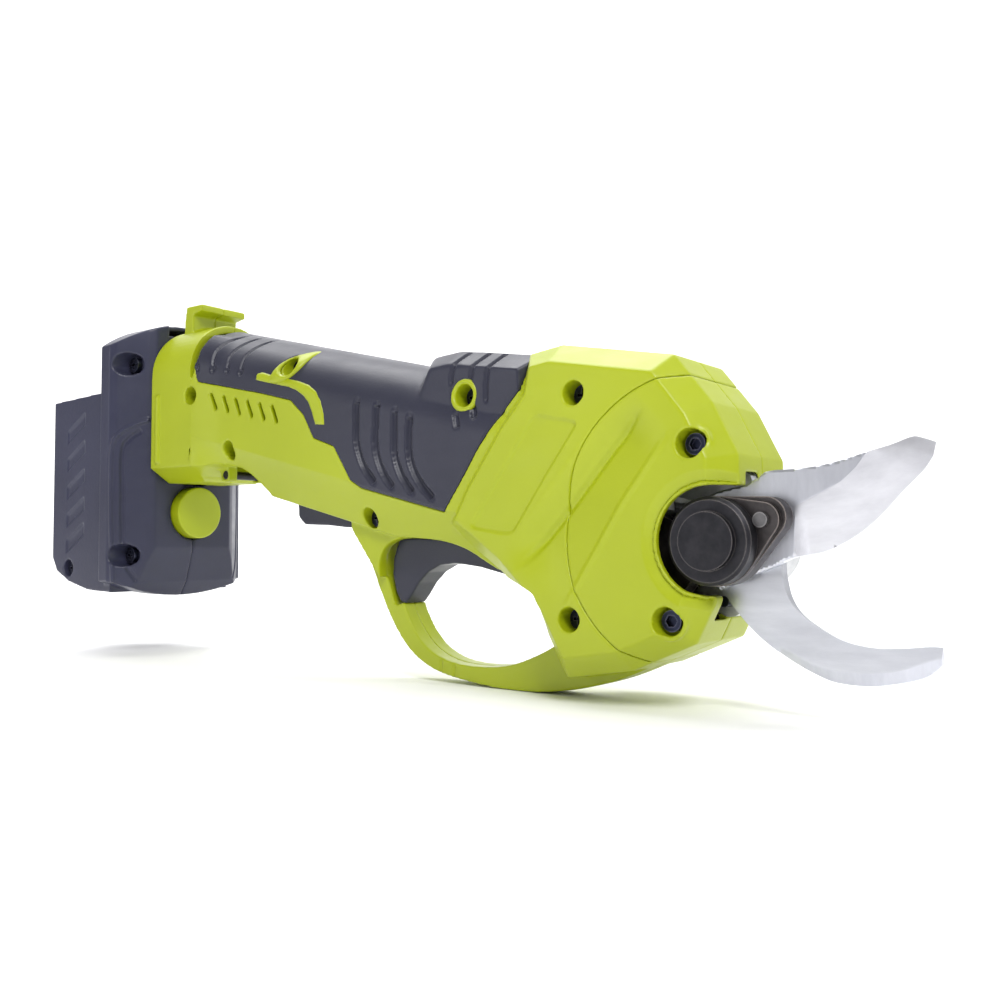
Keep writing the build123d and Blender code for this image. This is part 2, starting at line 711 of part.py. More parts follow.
with BuildPart() as housing_screws:
    for x, z, seat, reach in HOUSING_SCREWS:
        with BuildSketch(side_plane(-seat)):
            with Locations((x, z)):
                Circle(SCREW_HEAD_RADIUS)
        extrude(amount=SCREW_HEAD_HEIGHT)
        with BuildSketch(side_plane(-seat - 1)):
            with Locations((x, z)):
                Rectangle(4, 0.9)
                Rectangle(0.9, 4)
        extrude(amount=3, mode=Mode.SUBTRACT)
        with BuildSketch(side_plane(reach - 3.5)):
            with Locations((x, z)):
                Circle(SCREW_RADIUS - RUNNING_GAP)
        extrude(amount=reach + seat - 3.5)
save(housing_screws, "housing_screws")


# ---------------------------------------------------------------- cutting head

with BuildPart() as pivot_cap:
    with BuildSketch(side_plane(LOCK_Y)):
        Circle(CAP_RADIUS)
    extrude(amount=LOCK_Y - CAP_FACE_Y - 1)
    with BuildSketch(side_plane(CAP_FACE_Y + 1)):
        Circle(CAP_RADIUS)
    extrude(amount=1, taper=45)
    with BuildSketch(side_plane(CAP_FACE_Y)):
        Circle(CAP_DISC_RADIUS)
    extrude(amount=CAP_DISC_RISE)
    with BuildSketch(side_plane(LOCK_Y)):
        Circle(BOLT_RADIUS + RUNNING_GAP)
    extrude(amount=4.2, mode=Mode.SUBTRACT)
save(pivot_cap, "pivot_cap")

with BuildPart() as pivot_bolt:
    with BuildSketch(side_plane(BOLT_SEAT_Y + RUNNING_GAP)):
        Circle(BOLT_RADIUS)
    extrude(amount=BOLT_SEAT_Y - LOCK_Y + 4)
    with BuildSketch(side_plane(BOLT_SEAT_Y + 5)):
        Circle(9)
    extrude(amount=5 - RUNNING_GAP)
    with BuildSketch(side_plane(BOLT_SEAT_Y + 5.1)):
        RegularPolygon(4.6, 6)
    extrude(amount=3, mode=Mode.SUBTRACT)
save(pivot_bolt, "pivot_bolt")

with BuildPart() as lock_plate:
    with BuildSketch(side_plane(HUB_Y)):
        Circle(CAP_RADIUS + 0.2)
        with Locations(EAR):
            Circle(EAR_RADIUS)
        make_hull()
        Circle(BOLT_RADIUS + RUNNING_GAP, mode=Mode.SUBTRACT)
        with Locations(EAR):
            Circle(LOCK_SCREW_RADIUS, mode=Mode.SUBTRACT)
    extrude(amount=HUB_Y - LOCK_Y)
save(lock_plate, "lock_plate")

with BuildPart() as lock_screw:
    with BuildSketch(side_plane(HUB_Y + 3)):
        with Locations(EAR):
            Circle(LOCK_SCREW_RADIUS - RUNNING_GAP)
    extrude(amount=HUB_Y + 3 - LOCK_Y)
    with BuildSketch(side_plane(LOCK_Y)):
        with Locations(EAR):
            Circle(2.1)
    extrude(amount=1.4)
save(lock_screw, "lock_screw")

with BuildPart() as drive_pins:
    with BuildSketch(side_plane(BLADE_Y + 3)):
        with PolarLocations(DRIVE_PIN_ORBIT, 3, start_angle=60):
            Circle(DRIVE_PIN_RADIUS - RUNNING_GAP)
    extrude(amount=6.5)
save(drive_pins, "drive_pins")

with BuildPart() as blade_gear:
    with BuildSketch(side_plane(BLADE_Y)):
        Circle(CAP_RADIUS + 0.2)
        with Locations((14, 6.5)):
            Circle(5.7)
        make_hull()
    extrude(amount=BLADE_Y - HUB_Y)
    with BuildSketch(side_plane(BLADE_Y)):
        Circle(CROWN_OUTER)
        add(side_polygon([(0, 0)] + [polar(40, a) for a in SECTOR_ANGLES]), mode=Mode.INTERSECT)
        Circle(9, mode=Mode.SUBTRACT)
    extrude(amount=3)
    with BuildSketch(side_plane(CROWN_ROOT_Y + 0.3)):
        Circle(CROWN_OUTER)
        add(side_polygon([(0, 0)] + [polar(40, a) for a in SECTOR_ANGLES]), mode=Mode.INTERSECT)
        Circle(CROWN_INNER - 2, mode=Mode.SUBTRACT)
    extrude(amount=CROWN_ROOT_Y + 0.3 - BLADE_Y)
    for k in range(CROWN_SECTOR_TEETH):
        angle = math.radians(MESH_ANGLE + CROWN_PITCH * (k - 0.5))
        radial = (math.cos(angle), 0, math.sin(angle))
        tangent = (-math.sin(angle), 0, math.cos(angle))
        start = (PIVOT_X + CROWN_INNER * radial[0], 0, PIVOT_Z + CROWN_INNER * radial[2])
        with BuildSketch(Plane(origin=start, x_dir=tangent, z_dir=radial)) as tooth:
            with BuildLine():
                Polyline(
                    (-CROWN_ROOT_HALF, -CROWN_ROOT_Y), (-CROWN_TIP_HALF, -CROWN_TIP_Y),
                    (CROWN_TIP_HALF, -CROWN_TIP_Y), (CROWN_ROOT_HALF, -CROWN_ROOT_Y), close=True,
                )
            make_face()
        extrude(amount=CROWN_OUTER - CROWN_INNER)
    with BuildSketch(side_plane(BLADE_Y + 4)):
        Circle(BOLT_RADIUS + RUNNING_GAP)
    extrude(amount=12, mode=Mode.SUBTRACT)
    with BuildSketch(side_plane(HUB_Y + 3.2)):
        with Locations(EAR):
            Circle(LOCK_SCREW_RADIUS)
    extrude(amount=4, mode=Mode.SUBTRACT)
    with BuildSketch(side_plane(BLADE_Y)):
        with PolarLocations(DRIVE_PIN_ORBIT, 3, start_angle=60):
            Circle(DRIVE_PIN_RADIUS)
    extrude(amount=4, mode=Mode.SUBTRACT)
save(blade_gear, "blade_gear")

with BuildPart() as cutting_blade:
    with BuildSketch(side_plane(BLADE_Y + BLADE_THICKNESS)):
        add(side_polygon(BLADE_OUTLINE))
        Circle(TANG_RADIUS)
        Circle(BOLT_RADIUS + RUNNING_GAP, mode=Mode.SUBTRACT)
        with PolarLocations(DRIVE_PIN_ORBIT, 3, start_angle=60):
            Circle(DRIVE_PIN_RADIUS, mode=Mode.SUBTRACT)
    extrude(amount=BLADE_THICKNESS)
save(cutting_blade, "cutting_blade")

with BuildPart() as counter_blade:
    with BuildSketch(side_plane(COUNTER_Y + COUNTER_THICKNESS)):
        add(side_polygon(COUNTER_OUTLINE))
        Circle(TANG_RADIUS)
        for place in COUNTER_SCREWS:
            with Locations(place):
                Circle(COUNTER_EAR_RADIUS)
        Circle(BOLT_RADIUS + RUNNING_GAP, mode=Mode.SUBTRACT)
        with Locations(*COUNTER_SCREWS):
            Circle(COUNTER_SCREW_RADIUS, mode=Mode.SUBTRACT)
    extrude(amount=COUNTER_THICKNESS)
save(counter_blade, "counter_blade")

with BuildPart() as counter_blade_screws:
    with BuildSketch(side_plane(BOLT_SEAT_Y - 0.2)):
        with Locations(*COUNTER_SCREWS):
            Circle(3.0)
    extrude(amount=2.2)
    with BuildSketch(side_plane(BOLT_SEAT_Y - 0.1)):
        with Locations(*COUNTER_SCREWS):
            RegularPolygon(1.6, 6)
    extrude(amount=1.5, mode=Mode.SUBTRACT)
    with BuildSketch(side_plane(BOLT_SEAT_Y - 2.4)):
        with Locations(*COUNTER_SCREWS):
            Circle(COUNTER_SCREW_RADIUS - RUNNING_GAP)
    extrude(amount=BOLT_SEAT_Y - 2.4 - COUNTER_Y)
save(counter_blade_screws, "counter_blade_screws")

with BuildPart() as gear_case_front:
    with BuildSketch(side_plane(BOLT_SEAT_Y)):
        Circle(15)
        for place in COUNTER_SCREWS:
            with Locations(place):
                Circle(COUNTER_EAR_RADIUS)
    extrude(amount=BASE_THICKNESS)
    for place in COVER_BOLTS:
        with BuildSketch(side_plane(BOLT_SEAT_Y)):
            with Locations((-6, 0)):
                Circle(7)
            with Locations(place):
                Circle(BASE_EAR_RADIUS)
            make_hull()
        extrude(amount=BASE_THICKNESS)
    with BuildSketch(side_plane(BOLT_SEAT_Y)):
        add(side_polygon([
            polar(15, MESH_ANGLE + 90), polar(15, MESH_ANGLE - 90), polar(33, MESH_ANGLE - 27),
            polar(33, MESH_ANGLE + 27),
        ]))
    extrude(amount=BASE_THICKNESS)
    with BuildSketch(drive_plane(FLANGE_START)):
        Circle(STAGE_CASE_RADIUS)
    extrude(amount=FLANGE_END - FLANGE_START)
    with BuildSketch(drive_plane(15.6)):
        Rectangle(50, 17)
    extrude(amount=FLANGE_START + 1 - 15.6, mode=Mode.SUBTRACT)
    with BuildSketch(drive_plane(FLANGE_START + 1)):
        Circle(BEARING_RADIUS)
    extrude(amount=6, mode=Mode.SUBTRACT)
    with BuildSketch(drive_plane(FLANGE_START)):
        Circle(4.4)
    extrude(amount=FLANGE_END - FLANGE_START, mode=Mode.SUBTRACT)
    with BuildSketch(side_plane(BOLT_SEAT_Y)):
        Circle(BUSH_RADIUS)
        with Locations(*COUNTER_SCREWS):
            Circle(COUNTER_SCREW_RADIUS)
        with Locations(*COVER_BOLTS):
            Circle(COVER_BOLT_RADIUS)
    extrude(amount=BASE_THICKNESS, mode=Mode.SUBTRACT)
    with BuildSketch(side_plane(BOLT_SEAT_Y)):
        with Locations(*COUNTER_SCREWS):
            Circle(3.2)
    extrude(amount=2.4, mode=Mode.SUBTRACT)
save(gear_case_front, "gear_case_front")

with BuildPart() as pivot_bush:
    with BuildSketch(side_plane(BOLT_SEAT_Y)):
        Circle(BUSH_RADIUS)
        Circle(BOLT_RADIUS + RUNNING_GAP, mode=Mode.SUBTRACT)
    extrude(amount=BASE_THICKNESS)
save(pivot_bush, "pivot_bush")


# ---------------------------------------------------------------- drive train

with BuildPart() as output_pinion:
    with BuildSketch(drive_plane(CROWN_INNER)):
        add(gear_face(PINION_TEETH, CROWN_MODULE, 0.95, 1.25, 0.3))
    extrude(amount=5)
    with BuildSketch(drive_plane(CROWN_INNER + 1)):
        Circle(OUTPUT_SHAFT_RADIUS)
    extrude(amount=FLANGE_END + 0.5 - CROWN_INNER - 1)
save(output_pinion, "output_pinion")

with BuildPart() as pinion_bearing:
    with BuildSketch(drive_plane(FLANGE_START + 1)):
        Circle(BEARING_RADIUS)
        Circle(OUTPUT_SHAFT_RADIUS + RUNNING_GAP, mode=Mode.SUBTRACT)
    extrude(amount=5.5)
    with BuildSketch(drive_plane(FLANGE_START + 1)):
        Circle(BEARING_RADIUS - 1.6)
        Circle(OUTPUT_SHAFT_RADIUS + 1.6, mode=Mode.SUBTRACT)
    extrude(amount=0.6, mode=Mode.SUBTRACT)
save(pinion_bearing, "pinion_bearing")

with BuildPart() as planet_carrier:
    with BuildSketch(drive_plane(FLANGE_END + 0.5)):
        Circle(13)
    extrude(amount=2.8)
    with BuildSketch(drive_plane(FLANGE_END + 2)):
        with PolarLocations(PLANET_ORBIT, PLANET_COUNT):
            Circle(PLANET_PIN)
    extrude(amount=4, mode=Mode.SUBTRACT)
save(planet_carrier, "planet_carrier")

with BuildPart() as planet_pins:
    with BuildSketch(drive_plane(FLANGE_END + 2)):
        with PolarLocations(PLANET_ORBIT, PLANET_COUNT):
            Circle(PLANET_PIN)
    extrude(amount=STAGE_START + STAGE_WIDTH + 0.5 - FLANGE_END - 2)
save(planet_pins, "planet_pins")

for k in range(PLANET_COUNT):
    angle = 360 / PLANET_COUNT * k
    centre = (
        PLANET_ORBIT * math.cos(math.radians(angle)), PLANET_ORBIT * math.sin(math.radians(angle)),
    )
    with BuildPart() as planet_gear:
        with BuildSketch(drive_plane(STAGE_START)):
            with Locations(Location(centre, angle + 180 / PLANET_TEETH)):
                add(gear_face(PLANET_TEETH, STAGE_MODULE, 0.7, 1.05, 0.12))
            with Locations(centre):
                Circle(PLANET_PIN + RUNNING_GAP, mode=Mode.SUBTRACT)
        extrude(amount=STAGE_WIDTH)
    save(planet_gear, "planet_gear_" + str(k + 1))

with BuildPart() as sun_gear:
    with BuildSketch(drive_plane(STAGE_START)):
        add(gear_face(SUN_TEETH, STAGE_MODULE, 0.7, 1.05, 0.12))
        Circle(SHAFT_RADIUS, mode=Mode.SUBTRACT)
    extrude(amount=STAGE_WIDTH)
save(sun_gear, "sun_gear")

with BuildPart() as ring_gear:
    with BuildSketch(drive_plane(FLANGE_END)):
        Circle(STAGE_CASE_RADIUS)
        with Locations(Location((0, 0), 180 / RING_TEETH)):
            add(gear_face(RING_TEETH, STAGE_MODULE, 1.05, 0.7, -0.12), mode=Mode.SUBTRACT)
    extrude(amount=MOTOR_START - 2.5 - FLANGE_END)
save(ring_gear, "ring_gear")

with BuildPart() as motor_flange:
    with BuildSketch(drive_plane(MOTOR_START - 2.5)):
        Circle(STAGE_CASE_RADIUS)
        Circle(5, mode=Mode.SUBTRACT)
        with PolarLocations(10.5, 4, start_angle=45):
            Circle(1.6, mode=Mode.SUBTRACT)
    extrude(amount=2.5)
save(motor_flange, "motor_flange")

with BuildPart() as motor_can:
    with BuildSketch(drive_plane(MOTOR_START)):
        Circle(MOTOR_RADIUS)
    extrude(amount=MOTOR_LENGTH)
    with BuildSketch(drive_plane(MOTOR_START + 2)):
        Circle(MOTOR_RADIUS - 1)
    extrude(amount=MOTOR_LENGTH, mode=Mode.SUBTRACT)
    with BuildSketch(drive_plane(MOTOR_START - 1)):
        Circle(SHAFT_RADIUS + RUNNING_GAP)
    extrude(amount=6, mode=Mode.SUBTRACT)
save(motor_can, "motor_can")

with BuildPart() as motor_end_cap:
    with BuildSketch(drive_plane(MOTOR_START + MOTOR_LENGTH)):
        Circle(MOTOR_RADIUS)
    extrude(amount=2)
    with BuildSketch(drive_plane(MOTOR_START + MOTOR_LENGTH)):
        Circle(5)
    extrude(amount=4)
    with BuildSketch(drive_plane(MOTOR_START + MOTOR_LENGTH - 1)):
        Circle(SHAFT_RADIUS + RUNNING_GAP)
    extrude(amount=3.5, mode=Mode.SUBTRACT)
save(motor_end_cap, "motor_end_cap")

with BuildPart() as motor_magnets:
    with BuildSketch(drive_plane(MOTOR_START + 8)):
        Circle(MOTOR_RADIUS - 1)
        Circle(MAGNET_INNER, mode=Mode.SUBTRACT)
        Rectangle(5, 40, mode=Mode.SUBTRACT)
    extrude(amount=30)
save(motor_magnets, "motor_magnets")

with BuildPart() as motor_rotor:
    with BuildSketch(drive_plane(MOTOR_START + 10)):
        Circle(ROTOR_RADIUS)
        with PolarLocations(ROTOR_RADIUS - 2.6, 5, start_angle=36):
            Circle(1.9, mode=Mode.SUBTRACT)
        with PolarLocations(ROTOR_RADIUS, 5, start_angle=36):
            Rectangle(3, 1.2, mode=Mode.SUBTRACT)
        Circle(SHAFT_RADIUS, mode=Mode.SUBTRACT)
    extrude(amount=26)
save(motor_rotor, "motor_rotor")

with BuildPart() as motor_shaft:
    with BuildSketch(drive_plane(STAGE_START)):
        Circle(SHAFT_RADIUS)
    extrude(amount=MOTOR_START + MOTOR_LENGTH + 1.5 - STAGE_START)
save(motor_shaft, "motor_shaft")

with BuildPart() as commutator:
    with BuildSketch(drive_plane(MOTOR_START + 38)):
        Circle(4)
        Circle(SHAFT_RADIUS, mode=Mode.SUBTRACT)
    extrude(amount=6)
save(commutator, "commutator")


# ---------------------------------------------------------------- trigger and lock-off

with BuildPart() as trigger:
    with BuildSketch(side_plane(0)):
        add(side_polygon(TRIGGER_OUTLINE))
        with Locations(TRIGGER_PIVOT):
            Circle(LEVER_PIN_RADIUS + RUNNING_GAP, mode=Mode.SUBTRACT)
    extrude(amount=TRIGGER_HALF, both=True)
save(trigger, "trigger")

with BuildPart() as lever_pins:
    with BuildSketch(side_plane(0)):
        with Locations(TRIGGER_PIVOT, LOCK_PIVOT):
            Circle(LEVER_PIN_RADIUS)
    extrude(amount=9, both=True)
save(lever_pins, "lever_pins")

with BuildPart() as lockoff_lever:
    with BuildSketch(side_plane(0)):
        add(side_polygon(LOCK_OUTLINE))
        with Locations(LOCK_PIVOT):
            Circle(LEVER_PIN_RADIUS + RUNNING_GAP, mode=Mode.SUBTRACT)
    extrude(amount=LOCK_HALF, both=True)
save(lockoff_lever, "lockoff_lever")

for name, x, bottom, top in (("trigger_spring", -124, 1.2, 9.8), ("lockoff_spring", -176, 15.6, 26.3)):
    foot = (PIVOT_X + x, 0, PIVOT_Z + bottom + SPRING_WIRE)
    rise = top - bottom - 2 * SPRING_WIRE
    with BuildPart() as spring:
        with BuildLine():
            coil = Helix(rise / 4, rise, SPRING_RADIUS, center=foot)
        with BuildSketch(Plane(origin=coil @ 0, z_dir=coil % 0)):
            Circle(SPRING_WIRE)
        sweep(path=coil)
    save(spring, name)

with BuildPart() as trigger_switch:
    with BuildSketch(level_plane(7.4)):
        with Locations((-110, 0)):
            Rectangle(18, 10)
    extrude(amount=7)
    with BuildSketch(level_plane(6.2)):
        with Locations((-113, 0)):
            Rectangle(3, 4)
    extrude(amount=1.4)
save(trigger_switch, "trigger_switch")


# ---------------------------------------------------------------- electrics in the handle

with BuildPart() as controller_board:
    with BuildSketch(drive_plane(BOARD_START)):
        with Locations((-BOARD_Y - 0.8, 1)):
            Rectangle(1.6, 24)
    extrude(amount=BOARD_LENGTH)
save(controller_board, "controller_board")

with BuildPart() as heatsink:
    with BuildSketch(drive_plane(BOARD_START + 6)):
        with Locations((-BOARD_Y + 1.5, 1)):
            Rectangle(3, 20)
        with GridLocations(0, 4.5, 1, 5):
            with Locations((-BOARD_Y + 6.5, 1)):
                Rectangle(8, 1.6)
    extrude(amount=32)
save(heatsink, "heatsink")

with BuildPart() as power_capacitor:
    with BuildSketch(drive_plane(BOARD_START + 18)):
        with Locations((-BOARD_Y - 1.6 - 5, 1)):
            Circle(5)
    extrude(amount=20)
save(power_capacitor, "power_capacitor")

with BuildPart() as power_leads:
    with BuildSketch(drive_plane(MOTOR_START + MOTOR_LENGTH + 2)):
        with Locations((-BOARD_Y + 1.4, 7), (-BOARD_Y + 1.4, 11)):
            Circle(LEAD_RADIUS)
    extrude(amount=BOARD_START + 4 - MOTOR_START - MOTOR_LENGTH - 2)
    for z in (42, 46):
        start = (PIVOT_X - 180, BOARD_Y - 1.4, PIVOT_Z + z)
        with BuildSketch(Plane(origin=start, z_dir=(-66, 0, 7.5))):
            Circle(LEAD_RADIUS)
        extrude(amount=66.4)
save(power_leads, "power_leads")

with BuildPart() as terminal_block:
    with BuildSketch(cross_plane(FOOT_REAR_X + FOOT_WALL + 0.1)):
        with Locations((0, 53)):
            Rectangle(28, 13)
    extrude(amount=9)
    add(contact_form.part, mode=Mode.SUBTRACT)
save(terminal_block, "terminal_block")

with BuildPart() as contact_blades:
    add(contact_form.part)
save(contact_blades, "contact_blades")

with BuildPart() as lanyard_pin:
    with BuildSketch(side_plane(0)):
        with Locations(LANYARD):
            Circle(LANYARD_RADIUS)
    extrude(amount=LANYARD_HALF + 4, both=True)
save(lanyard_pin, "lanyard_pin")


# ---------------------------------------------------------------- battery pack

with BuildPart() as case_outside:
    with BuildSketch(cross_plane(PACK_STEP_X)):
        add(pack_front_face(0))
    extrude(amount=PACK_FRONT_X - PACK_STEP_X)
    with BuildSketch(level_plane(PACK_BOTTOM_Z - 1)):
        add(pack_plan(0))
    extrude(amount=PACK_TOP_Z - PACK_BOTTOM_Z + 2, mode=Mode.INTERSECT)
    with BuildSketch(side_plane(0)):
        add(pack_chin(0))
    extrude(amount=PACK_HALF + 1, both=True, mode=Mode.INTERSECT)
    with BuildSketch(side_plane(0)):
        add(pack_rear_face(0))
    extrude(amount=PACK_REAR_HALF, both=True)

with BuildPart() as case_hollow:
    with BuildSketch(cross_plane(PACK_STEP_X + PACK_WALL)):
        add(pack_front_face(PACK_WALL))
    extrude(amount=PACK_FRONT_X - PACK_STEP_X - 2 * PACK_WALL)
    with BuildSketch(level_plane(PACK_BOTTOM_Z - 1)):
        add(pack_plan(PACK_WALL))
    extrude(amount=PACK_TOP_Z - PACK_BOTTOM_Z + 2, mode=Mode.INTERSECT)
    with BuildSketch(side_plane(0)):
        add(pack_chin(PACK_WALL))
    extrude(amount=PACK_HALF, both=True, mode=Mode.INTERSECT)
    with BuildSketch(side_plane(0)):
        add(pack_rear_face(PACK_WALL))
    extrude(amount=PACK_REAR_HALF - PACK_WALL, both=True)

with BuildPart() as case_form:
    add(case_outside.part)
    add(case_hollow.part, mode=Mode.SUBTRACT)
    with BuildSketch(level_plane(RAIL_BOTTOM_Z - RAIL_GAP - PACK_WALL)):
        with Locations(((PACK_FRONT_X + SLOT_WALL_X) / 2 - 0.5, 0)):
            Rectangle(PACK_FRONT_X - SLOT_WALL_X - 1, 40)
    extrude(amount=PACK_TOP_Z - 2.5 - RAIL_BOTTOM_Z)
    with BuildSketch(level_plane(23.5)):
        for y in (-10, 10):
            with Locations(((PACK_FRONT_X + SLOT_WALL_X) / 2 - 0.5, y)):
                Rectangle(PACK_FRONT_X - SLOT_WALL_X - 1, 4.8)
    extrude(amount=9)
    for x, z, seat, recess in PACK_SCREWS:
        with BuildSketch(side_plane(0)):
            with Locations((x, z)):
                Circle(PACK_BOSS_RADIUS)
        extrude(amount=PACK_REAR_HALF - 1, both=True)
        with BuildSketch(side_plane(1.6 - seat)):
            with Locations((x, z)):
                Circle(recess + 0.9)
        extrude(amount=PACK_HALF)
    add(case_outside.part, mode=Mode.INTERSECT)
    with BuildSketch(level_plane(-23)):
        with Locations((SPRING_RIB_X - 1, 0)):
            Rectangle(2, 20)
    extrude(amount=52)
    with BuildSketch(level_plane(RAIL_BOTTOM_Z - RAIL_GAP)):
        with Locations(((PACK_FRONT_X + SLOT_HEAD_X) / 2 + 1, 0)):
            Rectangle(PACK_FRONT_X - SLOT_HEAD_X + 2, 2 * (RAIL_NECK_HALF + RAIL_GAP))
        with Locations(((SLOT_LIP_X + SLOT_HEAD_X) / 2, 0)):
            Rectangle(SLOT_LIP_X - SLOT_HEAD_X, 2 * (RAIL_HEAD_HALF + RAIL_GAP))
    extrude(amount=PACK_TOP_Z - RAIL_BOTTOM_Z + 5, mode=Mode.SUBTRACT)
    with BuildSketch(level_plane(24.5)):
        for y in (-10, 10):
            with Locations((-263, y)):
                Rectangle(2.8, 2.9)
    extrude(amount=12, mode=Mode.SUBTRACT)
    with BuildSketch(cross_plane(PACK_FRONT_X - 4)):
        with Locations((0, BUTTON_Z)):
            Circle(BUTTON_RADIUS + 0.3)
        with Locations((0, 28.5)):
            Rectangle(LATCH_WIDTH + 0.8, 7)
    extrude(amount=6, mode=Mode.SUBTRACT)
    for x, z, seat, recess in PACK_SCREWS:
        with BuildSketch(side_plane(-seat)):
            with Locations((x, z)):
                Circle(recess)
        extrude(amount=PACK_HALF, mode=Mode.SUBTRACT)
        with BuildSketch(side_plane(seat - 4)):
            with Locations((x, z)):
                Circle(SCREW_RADIUS)
        extrude(amount=2 * seat - 2, mode=Mode.SUBTRACT)
    for z in GRIP_GROOVES:
        for y in (-PACK_REAR_HALF + 0.8, PACK_REAR_HALF + 1):
            with BuildSketch(side_plane(y)):
                add(side_polygon([(-310.5, z), (-310.5, z + 6), (-296.5, z + 14), (-296.5, z + 8)]))
            extrude(amount=1.8, mode=Mode.SUBTRACT)

for side, keep in (("right", Keep.TOP), ("left", Keep.BOTTOM)):
    with BuildPart() as battery_case:
        add(case_form.part)
        split(bisect_by=Plane.XZ, keep=keep)
    save(battery_case, "battery_case_" + side)

with BuildPart() as battery_screws:
    for x, z, seat, recess in PACK_SCREWS:
        with BuildSketch(side_plane(-seat)):
            with Locations((x, z)):
                Circle(SCREW_HEAD_RADIUS)
        extrude(amount=SCREW_HEAD_HEIGHT)
        with BuildSketch(side_plane(-seat - 1)):
            with Locations((x, z)):
                Rectangle(4, 0.9)
                Rectangle(0.9, 4)
        extrude(amount=3, mode=Mode.SUBTRACT)
        with BuildSketch(side_plane(seat - 4.5)):
            with Locations((x, z)):
                Circle(SCREW_RADIUS - RUNNING_GAP)
        extrude(amount=2 * seat - 4.5)
save(battery_screws, "battery_screws")

with BuildPart() as battery_cells:
    with BuildSketch(level_plane(CELL_BOTTOM_Z)):
        with Locations((CELL_FRONT_X - CELL_PITCH / 2, 0)):
            with GridLocations(CELL_PITCH, CELL_PITCH, 2, 3):
                Circle(CELL_RADIUS)
    extrude(amount=CELL_LENGTH - 0.8)
    with BuildSketch(level_plane(CELL_BOTTOM_Z)):
        with Locations((CELL_FRONT_X - CELL_PITCH / 2, 0)):
            with GridLocations(CELL_PITCH, CELL_PITCH, 2, 3):
                Circle(3)
    extrude(amount=CELL_LENGTH)
save(battery_cells, "battery_cells")

for name, z in (("lower", CELL_BOTTOM_Z + 1), ("upper", CELL_BOTTOM_Z + CELL_LENGTH - 9)):
    with BuildPart() as cell_holder:
        with BuildSketch(level_plane(z)):
            with Locations((CELL_FRONT_X - CELL_PITCH / 2, 0)):
                Rectangle(CELL_PITCH * 2 - 1, CELL_PITCH * 3 - 1)
                with GridLocations(CELL_PITCH, CELL_PITCH, 2, 3):
                    Circle(CELL_RADIUS + RUNNING_GAP, mode=Mode.SUBTRACT)
        extrude(amount=8)
    save(cell_holder, "cell_holder_" + name)

with BuildPart() as nickel_strips:
    for z in (CELL_BOTTOM_Z - 0.3, CELL_BOTTOM_Z + CELL_LENGTH):
        with BuildSketch(level_plane(z)):
            with Locations((CELL_FRONT_X - CELL_PITCH / 2, 0)):
                with GridLocations(CELL_PITCH, CELL_PITCH, 1, 3):
                    Rectangle(CELL_PITCH + 8, 6)
        extrude(amount=0.3)
save(nickel_strips, "nickel_strips")

with BuildPart() as battery_board:
    with BuildSketch(cross_plane(SPRING_RIB_X - 1.4)):
        with Locations((0, 47)):
            Rectangle(50, 20)
    extrude(amount=1.4)
save(battery_board, "battery_board")

with BuildPart() as battery_terminals:
    with BuildSketch(level_plane(24.6)):
        for y in (-11, -9, 9, 11):
            with Locations((-263, y)):
                Rectangle(2.4, 0.8)
    extrude(amount=8.5)
    with BuildSketch(level_plane(24.6)):
        for y in (-10, 10):
            with Locations((-263, y)):
                Rectangle(2.4, 2.8)
    extrude(amount=1.2)
save(battery_terminals, "battery_terminals")

with BuildPart() as release_button:
    with BuildSketch(cross_plane(LATCH_X)):
        with Locations((0, BUTTON_Z)):
            Circle(BUTTON_RADIUS)
    extrude(amount=BUTTON_FACE_X - LATCH_X)
save(release_button, "release_button")

with BuildPart() as release_latch:
    with BuildSketch(cross_plane(LATCH_X - 3)):
        with Locations((0, 17.5)):
            Rectangle(LATCH_WIDTH + 2, 27)
    extrude(amount=3)
    with BuildSketch(cross_plane(LATCH_X)):
        with Locations((0, 29)):
            Rectangle(LATCH_WIDTH, 4)
    extrude(amount=4.8)
save(release_latch, "release_latch")

with BuildPart() as button_spring:
    foot = (PIVOT_X + SPRING_RIB_X + SPRING_WIRE, 0, PIVOT_Z + BUTTON_Z)
    rise = LATCH_X - 3 - SPRING_RIB_X - 2 * SPRING_WIRE
    with BuildLine():
        coil = Helix(rise / 3, rise, SPRING_RADIUS, center=foot, direction=(1, 0, 0))
    with BuildSketch(Plane(origin=coil @ 0, z_dir=coil % 0)):
        Circle(SPRING_WIRE)
    sweep(path=coil)
save(button_spring, "button_spring")
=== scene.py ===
import math

import bmesh
import bpy
import numpy as np
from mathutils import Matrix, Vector
from mathutils.bvhtree import BVHTree
from mathutils.geometry import delaunay_2d_cdt


